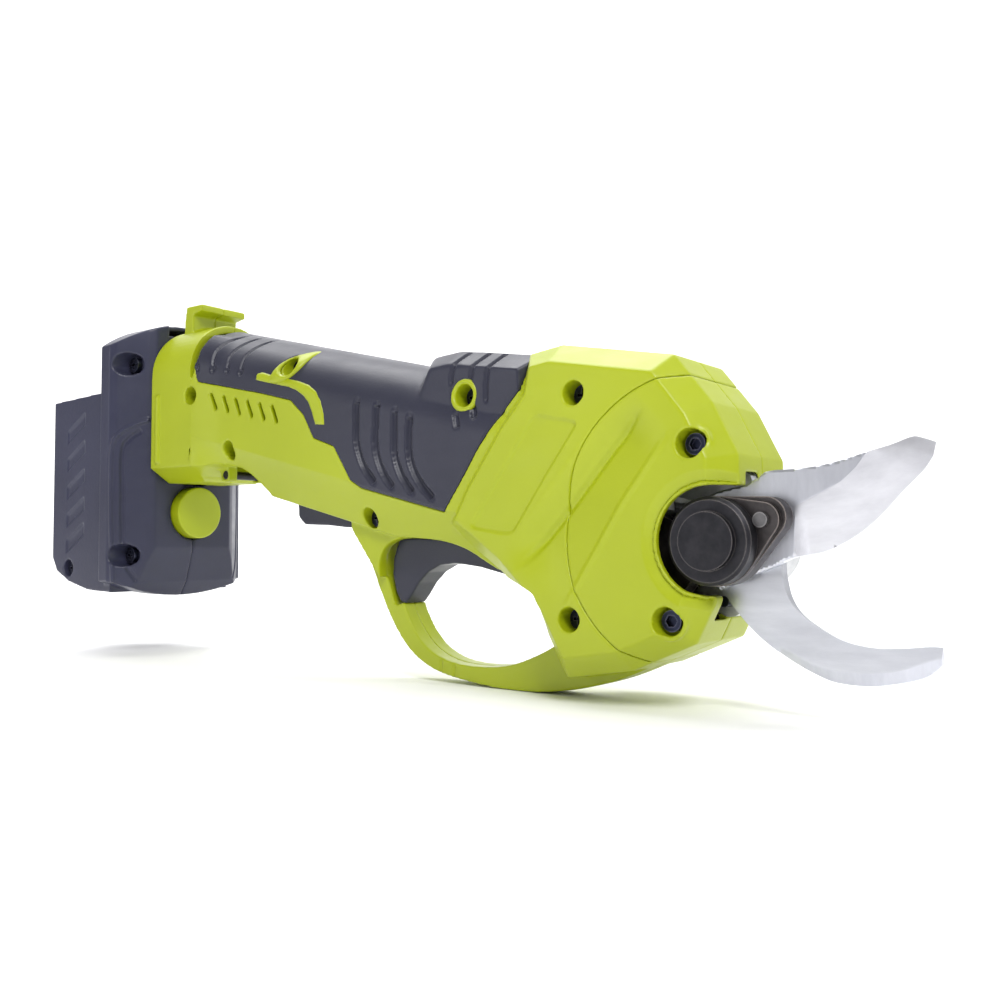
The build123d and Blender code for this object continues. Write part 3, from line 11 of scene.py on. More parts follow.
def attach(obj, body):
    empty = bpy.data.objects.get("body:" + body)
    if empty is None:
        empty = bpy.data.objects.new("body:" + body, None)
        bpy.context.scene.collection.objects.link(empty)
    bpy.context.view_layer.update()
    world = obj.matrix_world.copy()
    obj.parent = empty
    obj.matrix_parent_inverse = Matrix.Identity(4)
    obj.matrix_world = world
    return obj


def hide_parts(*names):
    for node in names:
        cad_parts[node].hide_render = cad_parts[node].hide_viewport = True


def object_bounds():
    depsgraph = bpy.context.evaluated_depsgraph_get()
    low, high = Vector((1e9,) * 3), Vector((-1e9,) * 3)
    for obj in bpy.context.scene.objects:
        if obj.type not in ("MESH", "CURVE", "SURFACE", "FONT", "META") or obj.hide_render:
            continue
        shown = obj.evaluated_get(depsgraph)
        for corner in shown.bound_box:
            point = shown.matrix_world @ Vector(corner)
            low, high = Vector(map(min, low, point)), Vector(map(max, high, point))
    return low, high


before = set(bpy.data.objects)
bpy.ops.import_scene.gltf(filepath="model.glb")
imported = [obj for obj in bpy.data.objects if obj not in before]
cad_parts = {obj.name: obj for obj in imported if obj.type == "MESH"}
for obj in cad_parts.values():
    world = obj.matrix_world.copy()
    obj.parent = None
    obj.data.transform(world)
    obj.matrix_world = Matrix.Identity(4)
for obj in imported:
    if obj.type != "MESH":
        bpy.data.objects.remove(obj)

CAD_BOX = [list(corner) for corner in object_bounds()]

# Lengths below are millimetres from the blade pivot: x forward, y to the left-hand side, z up.
MM = 0.001
PIVOT = Vector((132.6, 0.0, -26.05)) * MM


def place(x, y, z):
    """A point given in millimetres from the pivot, in the row frame."""
    return PIVOT + Vector((x, y, z)) * MM


# ------------------------------------------------------------------ materials

class Wiring:
    """A material's node tree with short ways to add and join nodes."""

    def __init__(self, name):
        self.material = bpy.data.materials.new(name)
        self.material.use_nodes = True
        self.tree = self.material.node_tree
        self.shader = self.tree.nodes["Principled BSDF"]
        self.coords = self.add("ShaderNodeTexCoord").outputs["Object"]

    def add(self, kind, **settings):
        node = self.tree.nodes.new(kind)
        for key, value in settings.items():
            setattr(node, key, value)
        return node

    def join(self, output, socket):
        self.tree.links.new(output, socket)

    def noise(self, scale, detail=4.0, stretch=None, roughness=0.55):
        node = self.add("ShaderNodeTexNoise")
        node.inputs["Scale"].default_value = scale
        node.inputs["Detail"].default_value = detail
        node.inputs["Roughness"].default_value = roughness
        if stretch:
            mapping = self.add("ShaderNodeMapping")
            mapping.inputs["Scale"].default_value = stretch[0]
            mapping.inputs["Rotation"].default_value = stretch[1]
            self.join(self.coords, mapping.inputs["Vector"])
            self.join(mapping.outputs["Vector"], node.inputs["Vector"])
        else:
            self.join(self.coords, node.inputs["Vector"])
        return node.outputs["Fac"]

    def ramp(self, value, stops):
        node = self.add("ShaderNodeValToRGB")
        elements = node.color_ramp.elements
        while len(elements) < len(stops):
            elements.new(0.5)
        for element, (position, colour) in zip(elements, stops):
            element.position = position
            element.color = (*colour, 1.0)
        self.join(value, node.inputs["Fac"])
        return node.outputs["Color"]

    def spread(self, value, low, high, new_low, new_high):
        node = self.add("ShaderNodeMapRange")
        node.inputs["From Min"].default_value = low
        node.inputs["From Max"].default_value = high
        node.inputs["To Min"].default_value = new_low
        node.inputs["To Max"].default_value = new_high
        self.join(value, node.inputs["Value"])
        return node.outputs["Result"]

    def mix(self, factor, first, second):
        node = self.add("ShaderNodeMix", data_type="RGBA")
        self.join(factor, node.inputs["Factor"])
        self.join(first, node.inputs["A"])
        self.join(second, node.inputs["B"])
        return node.outputs["Result"]

    def edges(self, low, high):
        """Near 1 on sharp outer edges, where the painted edge highlight goes."""
        bevel = self.add("ShaderNodeBevel", samples=4)
        bevel.inputs["Radius"].default_value = 0.0006
        geometry = self.add("ShaderNodeNewGeometry")
        dot = self.add("ShaderNodeVectorMath", operation="DOT_PRODUCT")
        self.join(bevel.outputs["Normal"], dot.inputs[0])
        self.join(geometry.outputs["Normal"], dot.inputs[1])
        return self.spread(dot.outputs["Value"], high, low, 0.0, 1.0)

    def bump(self, *heights):
        previous = None
        for value, strength, distance in heights:
            node = self.add("ShaderNodeBump")
            node.inputs["Strength"].default_value = strength
            node.inputs["Distance"].default_value = distance
            self.join(value, node.inputs["Height"])
            if previous:
                self.join(previous.outputs["Normal"], node.inputs["Normal"])
            previous = node
        self.join(previous.outputs["Normal"], self.shader.inputs["Normal"])


def plastic(name, low, high, rough, sheen=0.0, grain=900.0, grain_depth=0.25, spec=0.5):
    """Moulded plastic: faint colour drift, handling marks in the gloss and a fine spark-eroded grain."""
    w = Wiring(name)
    w.join(w.ramp(w.noise(14.0, 5.0), [(0.3, low), (0.7, high)]), w.shader.inputs["Base Color"])
    marks = w.noise(60.0, 6.0, ((1.0, 1.0, 3.0), (0.3, 0.5, 0.0)))
    w.join(w.spread(marks, 0.3, 0.7, rough[0], rough[1]), w.shader.inputs["Roughness"])
    w.shader.inputs["Specular IOR Level"].default_value = spec
    w.shader.inputs["Sheen Weight"].default_value = sheen
    fine = w.noise(grain, 2.0)
    broad = w.noise(35.0, 2.0)
    w.bump((fine, grain_depth, 0.00012), (broad, 0.05, 0.0008))
    return w.material


def metal(name, low, high, rough, stretch=None, scale=160.0, strength=0.12, edge_highlight=None, metallic=1.0):
    """Machined metal: drawn or ground lines in colour, gloss and relief, with sharp edges painted lighter as a
    highlight if asked.
    """
    w = Wiring(name)
    lines = w.noise(scale, 6.0, stretch, 0.65)
    patch = w.noise(22.0, 4.0)
    colour = w.ramp(lines, [(0.3, low), (0.72, high)])
    # Sharp edges get a lighter colour: a painted highlight where light would catch them.
    if edge_highlight:
        painted_highlight = w.ramp(patch, [(0.35, edge_highlight), (0.75, tuple(min(1.0, c * 1.5) for c in edge_highlight))])
        colour = w.mix(w.edges(0.93, 0.995), colour, painted_highlight)
    w.join(colour, w.shader.inputs["Base Color"])
    w.shader.inputs["Metallic"].default_value = metallic
    w.join(w.spread(patch, 0.3, 0.7, rough[0], rough[1]), w.shader.inputs["Roughness"])
    w.bump((lines, strength, 0.00008), (patch, 0.03, 0.0004))
    return w.material


LIME = plastic("lime_plastic", (0.335, 0.395, 0.003), (0.385, 0.45, 0.006), (0.33, 0.43))
GRIP = plastic("soft_grip", (0.018, 0.019, 0.035), (0.027, 0.028, 0.049), (0.34, 0.44), 0.03, 1100.0, 0.3, 0.4)
PACK = plastic("pack_plastic", (0.026, 0.027, 0.052), (0.038, 0.040, 0.074),
               (0.30, 0.40), 0.02, 700.0, 0.4, 0.36)
BLACK = plastic("black_plastic", (0.012, 0.012, 0.014), (0.022, 0.022, 0.025), (0.35, 0.5))
HOLDER = plastic("holder_plastic", (0.02, 0.02, 0.02), (0.035, 0.035, 0.035), (0.45, 0.6))
WRAP = plastic("cell_wrap", (0.02, 0.13, 0.30), (0.03, 0.18, 0.38), (0.2, 0.3))
BOARD = plastic("board_green", (0.008, 0.09, 0.035), (0.015, 0.13, 0.05), (0.25, 0.4), 0.0, 400.0, 0.5)
JACKET = plastic("lead_jacket", (0.30, 0.012, 0.01), (0.38, 0.02, 0.015), (0.4, 0.5))
ACROSS = ((1.0, 14.0, 5.0), (0.0, 0.9, 0.0))
GROUND = metal("ground_bevel", (0.53, 0.53, 0.57), (0.68, 0.68, 0.72), (0.34, 0.44), ACROSS, 30.0, 0.10)
HOOK = metal("hook_face", (0.50, 0.51, 0.56), (0.66, 0.67, 0.72), (0.30, 0.42), ACROSS, 30.0, 0.10)
FLAT = metal("blade_flat", (0.56, 0.57, 0.63), (0.66, 0.67, 0.73), (0.30, 0.40),
             ((6.0, 4.0, 1.5), (0.0, 0.4, 0.0)), 45.0, 0.08)
STEEL = metal("machined_steel", (0.42, 0.42, 0.44), (0.62, 0.62, 0.64), (0.25, 0.4))
# In these four metals, the colour before the last number is a painted highlight on sharp edges.
BLACKED = metal("black_oxide", (0.018, 0.018, 0.022), (0.035, 0.034, 0.04), (0.34, 0.5), None, 220.0,
                0.15, (0.12, 0.11, 0.11), 0.75)
GUN = metal("gunmetal", (0.055, 0.050, 0.052), (0.10, 0.09, 0.09), (0.3, 0.45), None, 260.0, 0.2,
            (0.30, 0.26, 0.24), 0.9)
PIN = metal("pin_steel", (0.13, 0.125, 0.13), (0.21, 0.205, 0.21), (0.3, 0.42), None, 240.0, 0.15,
            (0.30, 0.29, 0.29), 0.9)
BOLT = metal("screw_black", (0.012, 0.014, 0.03), (0.03, 0.034, 0.06), (0.25, 0.4), None, 200.0, 0.15,
             (0.1, 0.1, 0.14), 0.9)
CAST = metal("cast_aluminium", (0.50, 0.51, 0.52), (0.66, 0.66, 0.67), (0.4, 0.6), None, 300.0, 0.4)
BRONZE = metal("bronze", (0.36, 0.22, 0.08), (0.50, 0.33, 0.13), (0.35, 0.5), None, 400.0, 0.4)
COPPER = metal("copper", (0.62, 0.28, 0.13), (0.75, 0.38, 0.2), (0.2, 0.35))
MAGNET = metal("magnet", (0.07, 0.07, 0.075), (0.12, 0.12, 0.125), (0.4, 0.55))
LAMINATE = metal("laminate", (0.16, 0.16, 0.17), (0.30, 0.30, 0.31), (0.35, 0.5),
                 ((300.0, 2.0, 2.0), (0.0, 0.24, 0.0)), 8.0, 0.4)
SPRING = metal("spring_steel", (0.45, 0.45, 0.47), (0.65, 0.65, 0.67), (0.2, 0.3))


# ------------------------------------------------------------------ shapes

def distance_to_line(x, z, points):
    """Distance of each place to an open line on the side view, and how far along it the nearest spot is."""
    best = np.full(x.shape, 1e9)
    along = np.zeros(x.shape)
    lengths = [0.0]
    for (ax, az), (bx, bz) in zip(points, points[1:]):
        lengths.append(lengths[-1] + math.hypot(bx - ax, bz - az))
    total = lengths[-1]
    for k, ((ax, az), (bx, bz)) in enumerate(zip(points, points[1:])):
        dx, dz = bx - ax, bz - az
        t = np.clip(((x - ax) * dx + (z - az) * dz) / (dx * dx + dz * dz), 0, 1)
        d = np.hypot(x - ax - t * dx, z - az - t * dz)
        nearer = d < best
        best = np.where(nearer, d, best)
        along = np.where(nearer, (lengths[k] + t * math.hypot(dx, dz)) / total, along)
    return best, along


def inside(x, z, points):
    """Which places lie inside a closed outline on the side view."""
    result = np.zeros(x.shape, dtype=bool)
    for (ax, az), (bx, bz) in zip(points, points[1:] + points[:1]):
        crosses = (az > z) != (bz > z)
        slope = (bx - ax) / (bz - az) if bz != az else 0.0
        result ^= crosses & (x < ax + (z - az) * slope)
    return result


def signed(x, z, points):
    """Distance to a closed outline, positive inside it."""
    d, _ = distance_to_line(x, z, points + points[:1])
    return np.where(inside(x, z, points), d, -d)


def step(value, low, high):
    """0 below low, 1 above high and smooth between."""
    t = np.clip((value - low) / (high - low), 0, 1)
    return t * t * (3 - 2 * t)


def smooth_curve(points, count):
    """A rounder open line through the given points."""
    p = [points[0]] + list(points) + [points[-1]]
    out = []
    for k in range(1, len(p) - 2):
        for i in range(count):
            t = i / count
            a, b, c, d = (np.array(p[k + j - 1], dtype=float) for j in range(4))
            out.append(tuple(0.5 * (2 * b + (c - a) * t + (2 * a - 5 * b + 4 * c - d) * t * t
                                    + (3 * b - a - 3 * c + d) * t ** 3)))
    out.append(tuple(points[-1]))
    return out


def finish_mesh(mesh, *materials):
    for material in materials:
        mesh.materials.append(material)
    mesh.polygons.foreach_set("use_smooth", np.ones(len(mesh.polygons), dtype=bool))
    mesh.update()


def new_object(name, mesh, body, nodes=()):
    obj = bpy.data.objects.new(name, mesh)
    bpy.context.scene.collection.objects.link(obj)
    if nodes:
        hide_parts(*nodes)
    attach(obj, body)
    return obj


def relaxed(mesh, region):
    """Smooths a mesh much further where region says so."""
    points = np.empty(len(mesh.vertices) * 3)
    mesh.vertices.foreach_get("co", points)
    weights = region(points.reshape(-1, 3) / MM - np.array(PIVOT) / MM)
    obj = bpy.data.objects.new("working", mesh)
    bpy.context.scene.collection.objects.link(obj)
    group = obj.vertex_groups.new(name="region")
    for k in np.nonzero(weights > 0.02)[0]:
        group.add([int(k)], float(weights[k]), "REPLACE")
    smooth = obj.modifiers.new("smooth", "SMOOTH")
    smooth.factor = 0.6
    smooth.iterations = 60
    smooth.vertex_group = group.name
    graph = bpy.context.evaluated_depsgraph_get()
    result = bpy.data.meshes.new_from_object(obj.evaluated_get(graph))
    bpy.data.objects.remove(obj)
    return result


def soften(node, name, body, material, voxel, rounds, carve=None, shift=None, relax=None):
    """A moulded skin for a CAD shell: evenly remeshed, its edges rounded, and its surface carved."""
    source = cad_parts[node]
    obj = bpy.data.objects.new("working", source.data.copy())
    bpy.context.scene.collection.objects.link(obj)
    remesh = obj.modifiers.new("remesh", "REMESH")
    remesh.mode = "VOXEL"
    remesh.voxel_size = voxel * MM
    smooth = obj.modifiers.new("smooth", "SMOOTH")
    smooth.factor = 0.5
    smooth.iterations = rounds
    graph = bpy.context.evaluated_depsgraph_get()
    mesh = bpy.data.meshes.new_from_object(obj.evaluated_get(graph))
    bpy.data.objects.remove(obj)
    mesh.materials.clear()
    if relax is not None:
        mesh = relaxed(mesh, relax)
    count = len(mesh.vertices)
    flat = np.empty(count * 3)
    mesh.vertices.foreach_get("co", flat)
    normals = np.empty(count * 3)
    mesh.vertex_normals.foreach_get("vector", normals)
    points = flat.reshape(-1, 3) / MM - np.array(PIVOT) / MM
    normals = normals.reshape(-1, 3)
    if shift is not None:
        points = shift(points, normals)
    if carve is not None:
        outer = step(normals[:, 1] * np.sign(points[:, 1]), 0.15, 0.5)
        depth = carve(points, normals) * outer
        points = points - normals * depth[:, None]
    mesh.vertices.foreach_set("co", ((points + np.array(PIVOT) / MM) * MM).ravel())
    finish_mesh(mesh, material)
    return new_object(name, mesh, body, [node])


def dense_outline(points, spacing):
    """The same closed outline with vertices at an even spacing."""
    out = []
    for (ax, az), (bx, bz) in zip(points, points[1:] + points[:1]):
        steps = max(1, round(math.hypot(bx - ax, bz - az) / spacing))
        out += [(ax + (bx - ax) * k / steps, az + (bz - az) * k / steps) for k in range(steps)]
    return out


def dense_line(points, spacing):
    """An open line with vertices at an even spacing."""
    back = max(1, round(math.dist(points[-1], points[0]) / spacing))
    return dense_outline(points, spacing)[:-back] + [points[-1]]


def plate(outline, holes, spacing, near, far, creases=()):
    """A solid plate on the side view, with mesh edges along the creases. near and far give y."""
    loops = [dense_outline(outline, spacing)] + [dense_outline(h, spacing) for h in holes]
    points, edges, rims = [], [], []
    for loop in loops:
        start = len(points)
        points += loop
        ids = list(range(start, len(points)))
        rims.append(ids)
        edges += list(zip(ids, ids[1:] + ids[:1]))
    xs = [p[0] for p in outline]
    zs = [p[1] for p in outline]
    gx, gz = np.meshgrid(np.arange(min(xs), max(xs), spacing), np.arange(min(zs), max(zs), spacing * 0.87))
    gx = gx + (np.arange(gx.shape[0]) % 2)[:, None] * spacing / 2
    gx, gz = gx.ravel(), gz.ravel()
    clear = signed(gx, gz, outline)
    for hole in holes:
        clear = np.minimum(clear, -signed(gx, gz, hole))
    keep = clear > spacing * 0.5
    for crease in creases:
        keep &= distance_to_line(gx, gz, crease)[0] > spacing * 0.45
        line = [(a, b) for a, b in dense_line(crease, spacing)
                if inside(np.array([a]), np.array([b]), outline)[0]]
        start = len(points)
        points += line
        edges += [(k, k + 1) for k in range(start, len(points) - 1)]
    points += list(zip(gx[keep], gz[keep]))
    verts, _, faces, _, _, _ = delaunay_2d_cdt([Vector(p) for p in points], edges, [], 0, 1e-5)
    flat = np.array([(v.x, v.y) for v in verts])
    centres = np.array([flat[list(f)].mean(axis=0) for f in faces])
    good = inside(centres[:, 0], centres[:, 1], loops[0])
    for hole in loops[1:]:
        good &= ~inside(centres[:, 0], centres[:, 1], hole)
    faces = [f for f, ok in zip(faces, good) if ok]
    n = len(flat)
    y_near = near(flat[:, 0], flat[:, 1])
    y_far = far(flat[:, 0], flat[:, 1])
    co = [place(x, y, z) for (x, z), y in zip(flat, y_near)]
    co += [place(x, y, z) for (x, z), y in zip(flat, y_far)]
    polys = []
    for f in faces:
        a, b, c = (flat[i] for i in f[:3])
        turn = (b[0] - a[0]) * (c[1] - a[1]) - (b[1] - a[1]) * (c[0] - a[0])
        f = list(f) if turn > 0 else list(f)[::-1]
        polys.append(f)
        polys.append([i + n for i in f[::-1]])
    border = {}
    for f in polys[::2]:
        for a, b in zip(f, f[1:] + f[:1]):
            border[(a, b)] = True
    for a, b in list(border):
        if (b, a) not in border:
            polys.append([b, a, a + n, b + n])
    mesh = bpy.data.meshes.new("plate")
    mesh.from_pydata(co, [], polys)
    return mesh


def sharp_by_angle(obj, degrees):
    """Keeps real corners crisp and the rest smooth."""
    mesh = obj.data
    bm = bmesh.new()
    bm.from_mesh(mesh)
    limit = math.radians(degrees)
    for edge in bm.edges:
        if len(edge.link_faces) == 2 and edge.calc_face_angle(0) > limit:
            edge.smooth = False
    bm.to_mesh(mesh)
    bm.free()


def circle(radius, centre=(0.0, 0.0), count=48):
    return [(centre[0] + radius * math.cos(2 * math.pi * k / count),
             centre[1] + radius * math.sin(2 * math.pi * k / count)) for k in range(count)]


def tree_of(obj):
    """A search tree of an object's surface in millimetres from the pivot."""
    mesh = obj.data
    verts = [(v.co - PIVOT) / MM for v in mesh.vertices]
    return BVHTree.FromPolygons(verts, [tuple(p.vertices) for p in mesh.polygons])


def inlay(name, outline, trees, lift, depth, spacing, body, material, holes=(), side=-1, degree=0):
    """A raised insert that follows the shell below it."""
    def cast(x, z):
        out = np.full(x.shape, np.nan)
        for k, (px, pz) in enumerate(zip(x, z)):
            for tree in trees:
                hit = tree.ray_cast(Vector((px, side * 60.0, pz)), Vector((0.0, -side, 0.0)))
                if hit[0] is not None and not abs(hit[0].y) <= abs(out[k]):
                    out[k] = hit[0].y
        return out

    def terms(x, z):
        u, v = (x - outline[0][0]) / 10.0, (z - outline[0][1]) / 10.0
        return np.stack([u ** a * v ** b for a in range(degree + 1) for b in range(degree + 1 - a)], axis=1)

    samples = np.array(dense_outline(outline, spacing))
    for hole in holes:
        samples = samples[signed(samples[:, 0], samples[:, 1], hole) < -1.5]
    fit = None
    if degree:
        heights = cast(samples[:, 0], samples[:, 1])
        fit = np.linalg.lstsq(terms(samples[:, 0], samples[:, 1]), heights, rcond=None)[0]

    def surface(x, z):
        return cast(x, z) if fit is None else terms(x, z) @ fit

    def near(x, z):
        edge = signed(x, z, outline)
        for hole in holes:
            edge = np.minimum(edge, -signed(x, z, hole))
        return surface(x, z) + side * (lift * np.sqrt(np.clip(edge / 0.7, 0, 1)) - 0.1)

    def far(x, z):
        return surface(x, z) - side * depth

    mesh = plate(outline, holes, spacing, near if side < 0 else far, far if side < 0 else near)
    finish_mesh(mesh, material)
    return new_object(name, mesh, body)


# ------------------------------------------------------------------ carved features

GRIP_FINGERS = [
    [(-137.0, 50.1), (-136.9, 36.0), (-133.5, 27.0), (-127.9, 20.7)],
    [(-127.1, 48.2), (-127.5, 33.6), (-124.5, 25.0), (-119.3, 18.7)],
    [(-118.5, 45.4), (-118.4, 31.4), (-115.3, 23.0), (-110.0, 16.7)],
    [(-111.5, 42.8), (-111.4, 29.3), (-107.5, 21.0), (-101.0, 14.4)],
]
REAR_ARCS = [
    [(-224.0, 92.0), (-226.8, 87.0), (-228.6, 80.0), (-227.8, 69.9)],
    [(-211.0, 89.0), (-215.3, 84.0), (-219.5, 78.0), (-218.8, 69.0)],
    [(-203.0, 87.0), (-207.0, 82.0), (-211.3, 75.6), (-210.5, 67.8)],
    [(-195.0, 85.0), (-198.5, 80.0), (-202.6, 73.8), (-202.3, 66.1)],
]
BUMP_ARCS = [
    [(-89.5, 66.0), (-92.5, 61.0), (-94.3, 55.6), (-94.4, 52.3)],
    [(-82.0, 64.0), (-84.6, 59.2), (-86.1, 54.1), (-87.1, 47.3)],
    [(-75.8, 62.5), (-77.9, 58.5), (-79.4, 53.5), (-79.5, 45.3)],
]
BUMP_SLOTS = [[(-92.0, 42.6), (-90.5, 37.6)], [(-86.0, 46.6), (-84.1, 40.6)]]
PANEL = [
    (-82.2, 5.5), (-70.5, 21.5), (-59.3, 37.0), (-57.8, 38.5), (-55.8, 39.1), (-42.6, 36.3),
    (-41.6, 35.4), (-41.6, 34.4), (-52.1, 20.5), (-64.2, 3.5), (-66.0, 2.0), (-69.7, 2.0),
    (-80.1, 3.6), (-81.6, 4.2),
]
VALLEY = [(12.0, 70.0), (-16.7, 41.3), (-31.4, 26.2), (-49.1, 6.2), (-59.1, -4.3), (-120.0, -65.0)]
CREST = [(12.0, 70.0), (-12.5, 28.4), (-26.3, 10.3), (-35.5, -4.1), (-42.3, -14.5), (-90.0, -86.0)]


def groove(x, z, line, half, depth, fade=0.12):
    """A rounded channel along a line, running out at both ends."""
    d, t = distance_to_line(x, z, line)
    ends = step(t, -0.001, fade) * step(1 - t, -0.001, fade)
    return depth * np.sqrt(np.clip(1 - (d / half) ** 2, 0, 1)) * (0.25 + 0.75 * ends)


def carve_grip(points, normals):
    x, z = points[:, 0], points[:, 2]
    depth = np.zeros(x.shape)
    for line in GRIP_FINGERS:
        depth = np.maximum(depth, groove(x, z, smooth_curve(line, 6), 1.5, 1.9, 0.03))
    for line in REAR_ARCS:
        depth = np.maximum(depth, groove(x, z, smooth_curve(line, 6), 0.85, 0.95, 0.05))
        pit = np.hypot(x - line[-1][0], z - line[-1][1] - 1.0)
        depth = np.maximum(depth, 1.3 * np.sqrt(np.clip(1 - (pit / 1.7) ** 2, 0, 1)))
    for line in BUMP_ARCS:
        depth = np.maximum(depth, groove(x, z, smooth_curve(line, 6), 0.85, 0.95, 0.05))
    for line in BUMP_SLOTS:
        depth = np.maximum(depth, groove(x, z, line, 1.25, 1.3, 0.05))
    return depth


FOLD = 3.8


def ahead_of(x, z, line):
    """Distance forward of a line that leans across the head, negative behind it."""
    d, _ = distance_to_line(x, z, line)
    return np.where(inside(x, z, line + [(200.0, line[-1][1]), (200.0, line[0][1])]), d, -d)


def fold(x, z):
    """The head's diagonal crest and the valley behind it, which run across the cover's seam."""
    valley = ahead_of(x, z, VALLEY)
    crest = ahead_of(x, z, CREST)
    rise = FOLD * -crest / np.maximum(valley - crest, 0.5)
    depth = np.where(valley < 0, FOLD * (1 - step(-valley, 0.0, 9.0)), np.where(crest > 0, 0.0, rise))
    depth = depth + 0.9 * step(1.8 - np.abs(valley), 0.0, 1.8) - 0.5 * step(1.6 - np.abs(crest), 0.0, 1.6)
    along = x * 0.66 + z * 0.75
    return depth * step(18.0 - along, 0.0, 14.0) * step(along + 52.0, 0.0, 18.0)


def folded(points, normals):
    """The shell pushed inwards by the fold, walls and edges alike."""
    out = points.copy()
    x, y, z = points.T
    out[:, 1] = y - np.sign(y) * fold(x, z) * step(np.abs(y), 11.0, 19.0)
    return out


def flared(points, normals):
    """The housing, folded at the head and flared into its foot."""
    return folded(blend_foot(points, normals), normals)


def carve_housing(points, normals):
    x, z = points[:, 0], points[:, 2]
    panel = signed(x, z, PANEL)
    depth = 0.75 * step(panel, 0.0, 0.8)
    rib = np.maximum(np.abs(x + 254.0) - 1.3, np.abs(z - 47.5) - 14.5)
    depth = depth - 0.9 * step(-rib, -0.3, 0.4)
    clip_line = groove(x, z, [(-109.4, -41.8), (-110.0, -46.6)], 0.45, 0.6, 0.0)
    clip_line = np.maximum(clip_line, groove(x, z, [(-103.6, -42.8), (-103.8, -48.0)], 0.45, 0.6, 0.0))
    return depth + clip_line


def carve_cover(points, normals):
    x, z = points[:, 0], points[:, 2]
    from_pivot = np.hypot(x, z)
    behind = step(12.0 - x, 0.0, 8.0)
    return 1.6 * np.clip((19.6 - from_pivot) / 3.6, 0, 1) * behind


def blend_foot(points, normals):
    """Fills the step between the handle's barrel and its foot with a smooth flare."""
    x, y, z = points.T
    tilt = math.radians(13.5)
    across = (z + x * math.tan(tilt)) * math.cos(tilt)
    barrel = np.where(across < -12, 21.0 - 8.0 * (-12 - across) / 15.5, 21.0)
    barrel = np.where(across > 13, np.sqrt(np.clip(441.0 - (across - 13) ** 2, 0, None)), barrel)
    foot = np.where(z < 31, 22.5 - (31 - z) * 1.5, 22.5)
    foot = np.where(z > 70, np.sqrt(np.clip(506.0 - (z - 70) ** 2, 0, None)), foot)
    share = step(-212.0 - x, 0.0, 20.0) * (x > -234.6)
    outer = step(np.abs(y), 9.0, 12.0) * (normals[:, 1] * np.sign(y) > -0.3) * (z < 86)
    shift = np.clip(np.maximum(foot - barrel, 0.0), 0.0, 8.0) * share * outer
    out = points.copy()
    out[:, 1] = y + np.sign(y) * np.where(np.abs(y) < foot - 0.05, np.minimum(shift, foot - np.abs(y)), 0.0)
    return out


PACK_OUTER_RIDGE = smooth_curve([(13.4, -19.0), (14.3, 0.5), (14.9, 23.5), (14.5, 39.4), (12.1, 45.4),
                                 (5.8, 49.6), (0.0, 52.0)], 5)
PACK_INNER_RIDGE = smooth_curve([(4.0, -16.5), (8.9, -8.0), (10.0, 9.0), (10.1, 19.3), (10.1, 38.1),
                                 (7.6, 43.7), (3.2, 47.0)], 5)


def bump_foot(points):
    """Where the grip rises into the bump, clear of the shell's own edges."""
    x, y, z = points.T
    return step(x, -124.0, -116.0) * step(-86.0 - x, 0.0, 6.0) * step(z, 44.0, 50.0)


def carve_pack(points, normals):
    """Raised contours on the front block's cut-back corners, placed by distance along the corner."""
    x, y, z = points.T
    along = (-(x + 261.0) * 8.5 + (np.abs(y) - 22.5) * 9.7) / 12.9
    facing = step(normals[:, 0] * 0.75 + normals[:, 1] * np.sign(y) * 0.66, 0.75, 0.9) * (x > -273)
    outer, _ = distance_to_line(along, z, PACK_OUTER_RIDGE)
    inner, _ = distance_to_line(along, z, PACK_INNER_RIDGE)
    lip = 0.8 * step(1.3 - outer, 0.0, 1.1)
    valley = 0.8 * step(1.5 - inner, 0.0, 1.3)
    return (valley - lip) * facing


# ------------------------------------------------------------------ the visible shells

FINE = 1.0

skins = {}
for side in ("right", "left"):
    skins["housing_" + side] = soften(
        "housing_" + side, "housing_skin_" + side, "tool", LIME, 0.5 * FINE, 7, carve_housing,
        flared)
    skins["grip_" + side] = soften(
        "grip_" + side, "grip_skin_" + side, "tool", GRIP, 0.42 * FINE, 5, carve_grip,
        blend_foot, bump_foot)
    skins["cover_" + side] = soften(
        "head_cover_" + side, "cover_skin_" + side, "tool", LIME, 0.45 * FINE, 7, carve_cover,
        folded)
    skins["pack_" + side] = soften(
        "battery_case_" + side, "pack_skin_" + side, "battery", PACK, 0.5 * FINE, 7,
        carve_pack)

soften("trigger", "trigger_skin", "trigger_lever", GRIP, 0.35 * FINE, 14)
soften("lockoff_lever", "lockoff_skin", "lockoff", GRIP, 0.35 * FINE, 14)
soften("release_button", "button_skin", "release", LIME, 0.3 * FINE, 8)

LEAF = smooth_curve([(-184.4, 60.9), (-183.6, 64.6), (-180.9, 68.9), (-176.6, 71.7), (-168.0, 73.2),
                     (-168.4, 68.6), (-171.0, 64.0), (-177.4, 60.4), (-184.4, 60.9)], 5)[:-1]
STRIP = [
    (-192.6, 65.6), (-192.5, 62.9), (-184.8, 61.0), (-173.3, 58.4), (-168.6, 56.6), (-165.2, 54.6),
    (-162.2, 51.8), (-160.2, 48.0), (-158.2, 43.0), (-153.2, 42.6), (-153.6, 47.0), (-155.2, 51.6),
    (-158.2, 55.6), (-162.4, 58.4), (-167.7, 60.3), (-176.2, 62.4), (-184.9, 64.6), (-189.6, 66.0),
]
for side, sign in (("right", -1), ("left", 1)):
    trees = [tree_of(skins["grip_" + side]), tree_of(skins["housing_" + side])]
    hole = [circle(3.75, (-175.7, 66.8))] if side == "right" else []
    inlay("inlay_leaf_" + side, LEAF, trees, 0.9, 1.2, 0.7, "tool", LIME, hole, sign, 2)
    inlay("inlay_strip_" + side, STRIP, trees, 0.45, 0.6, 0.7, "tool", LIME, (), sign)
trees = [tree_of(skins["grip_right"]), tree_of(skins["housing_right"])]
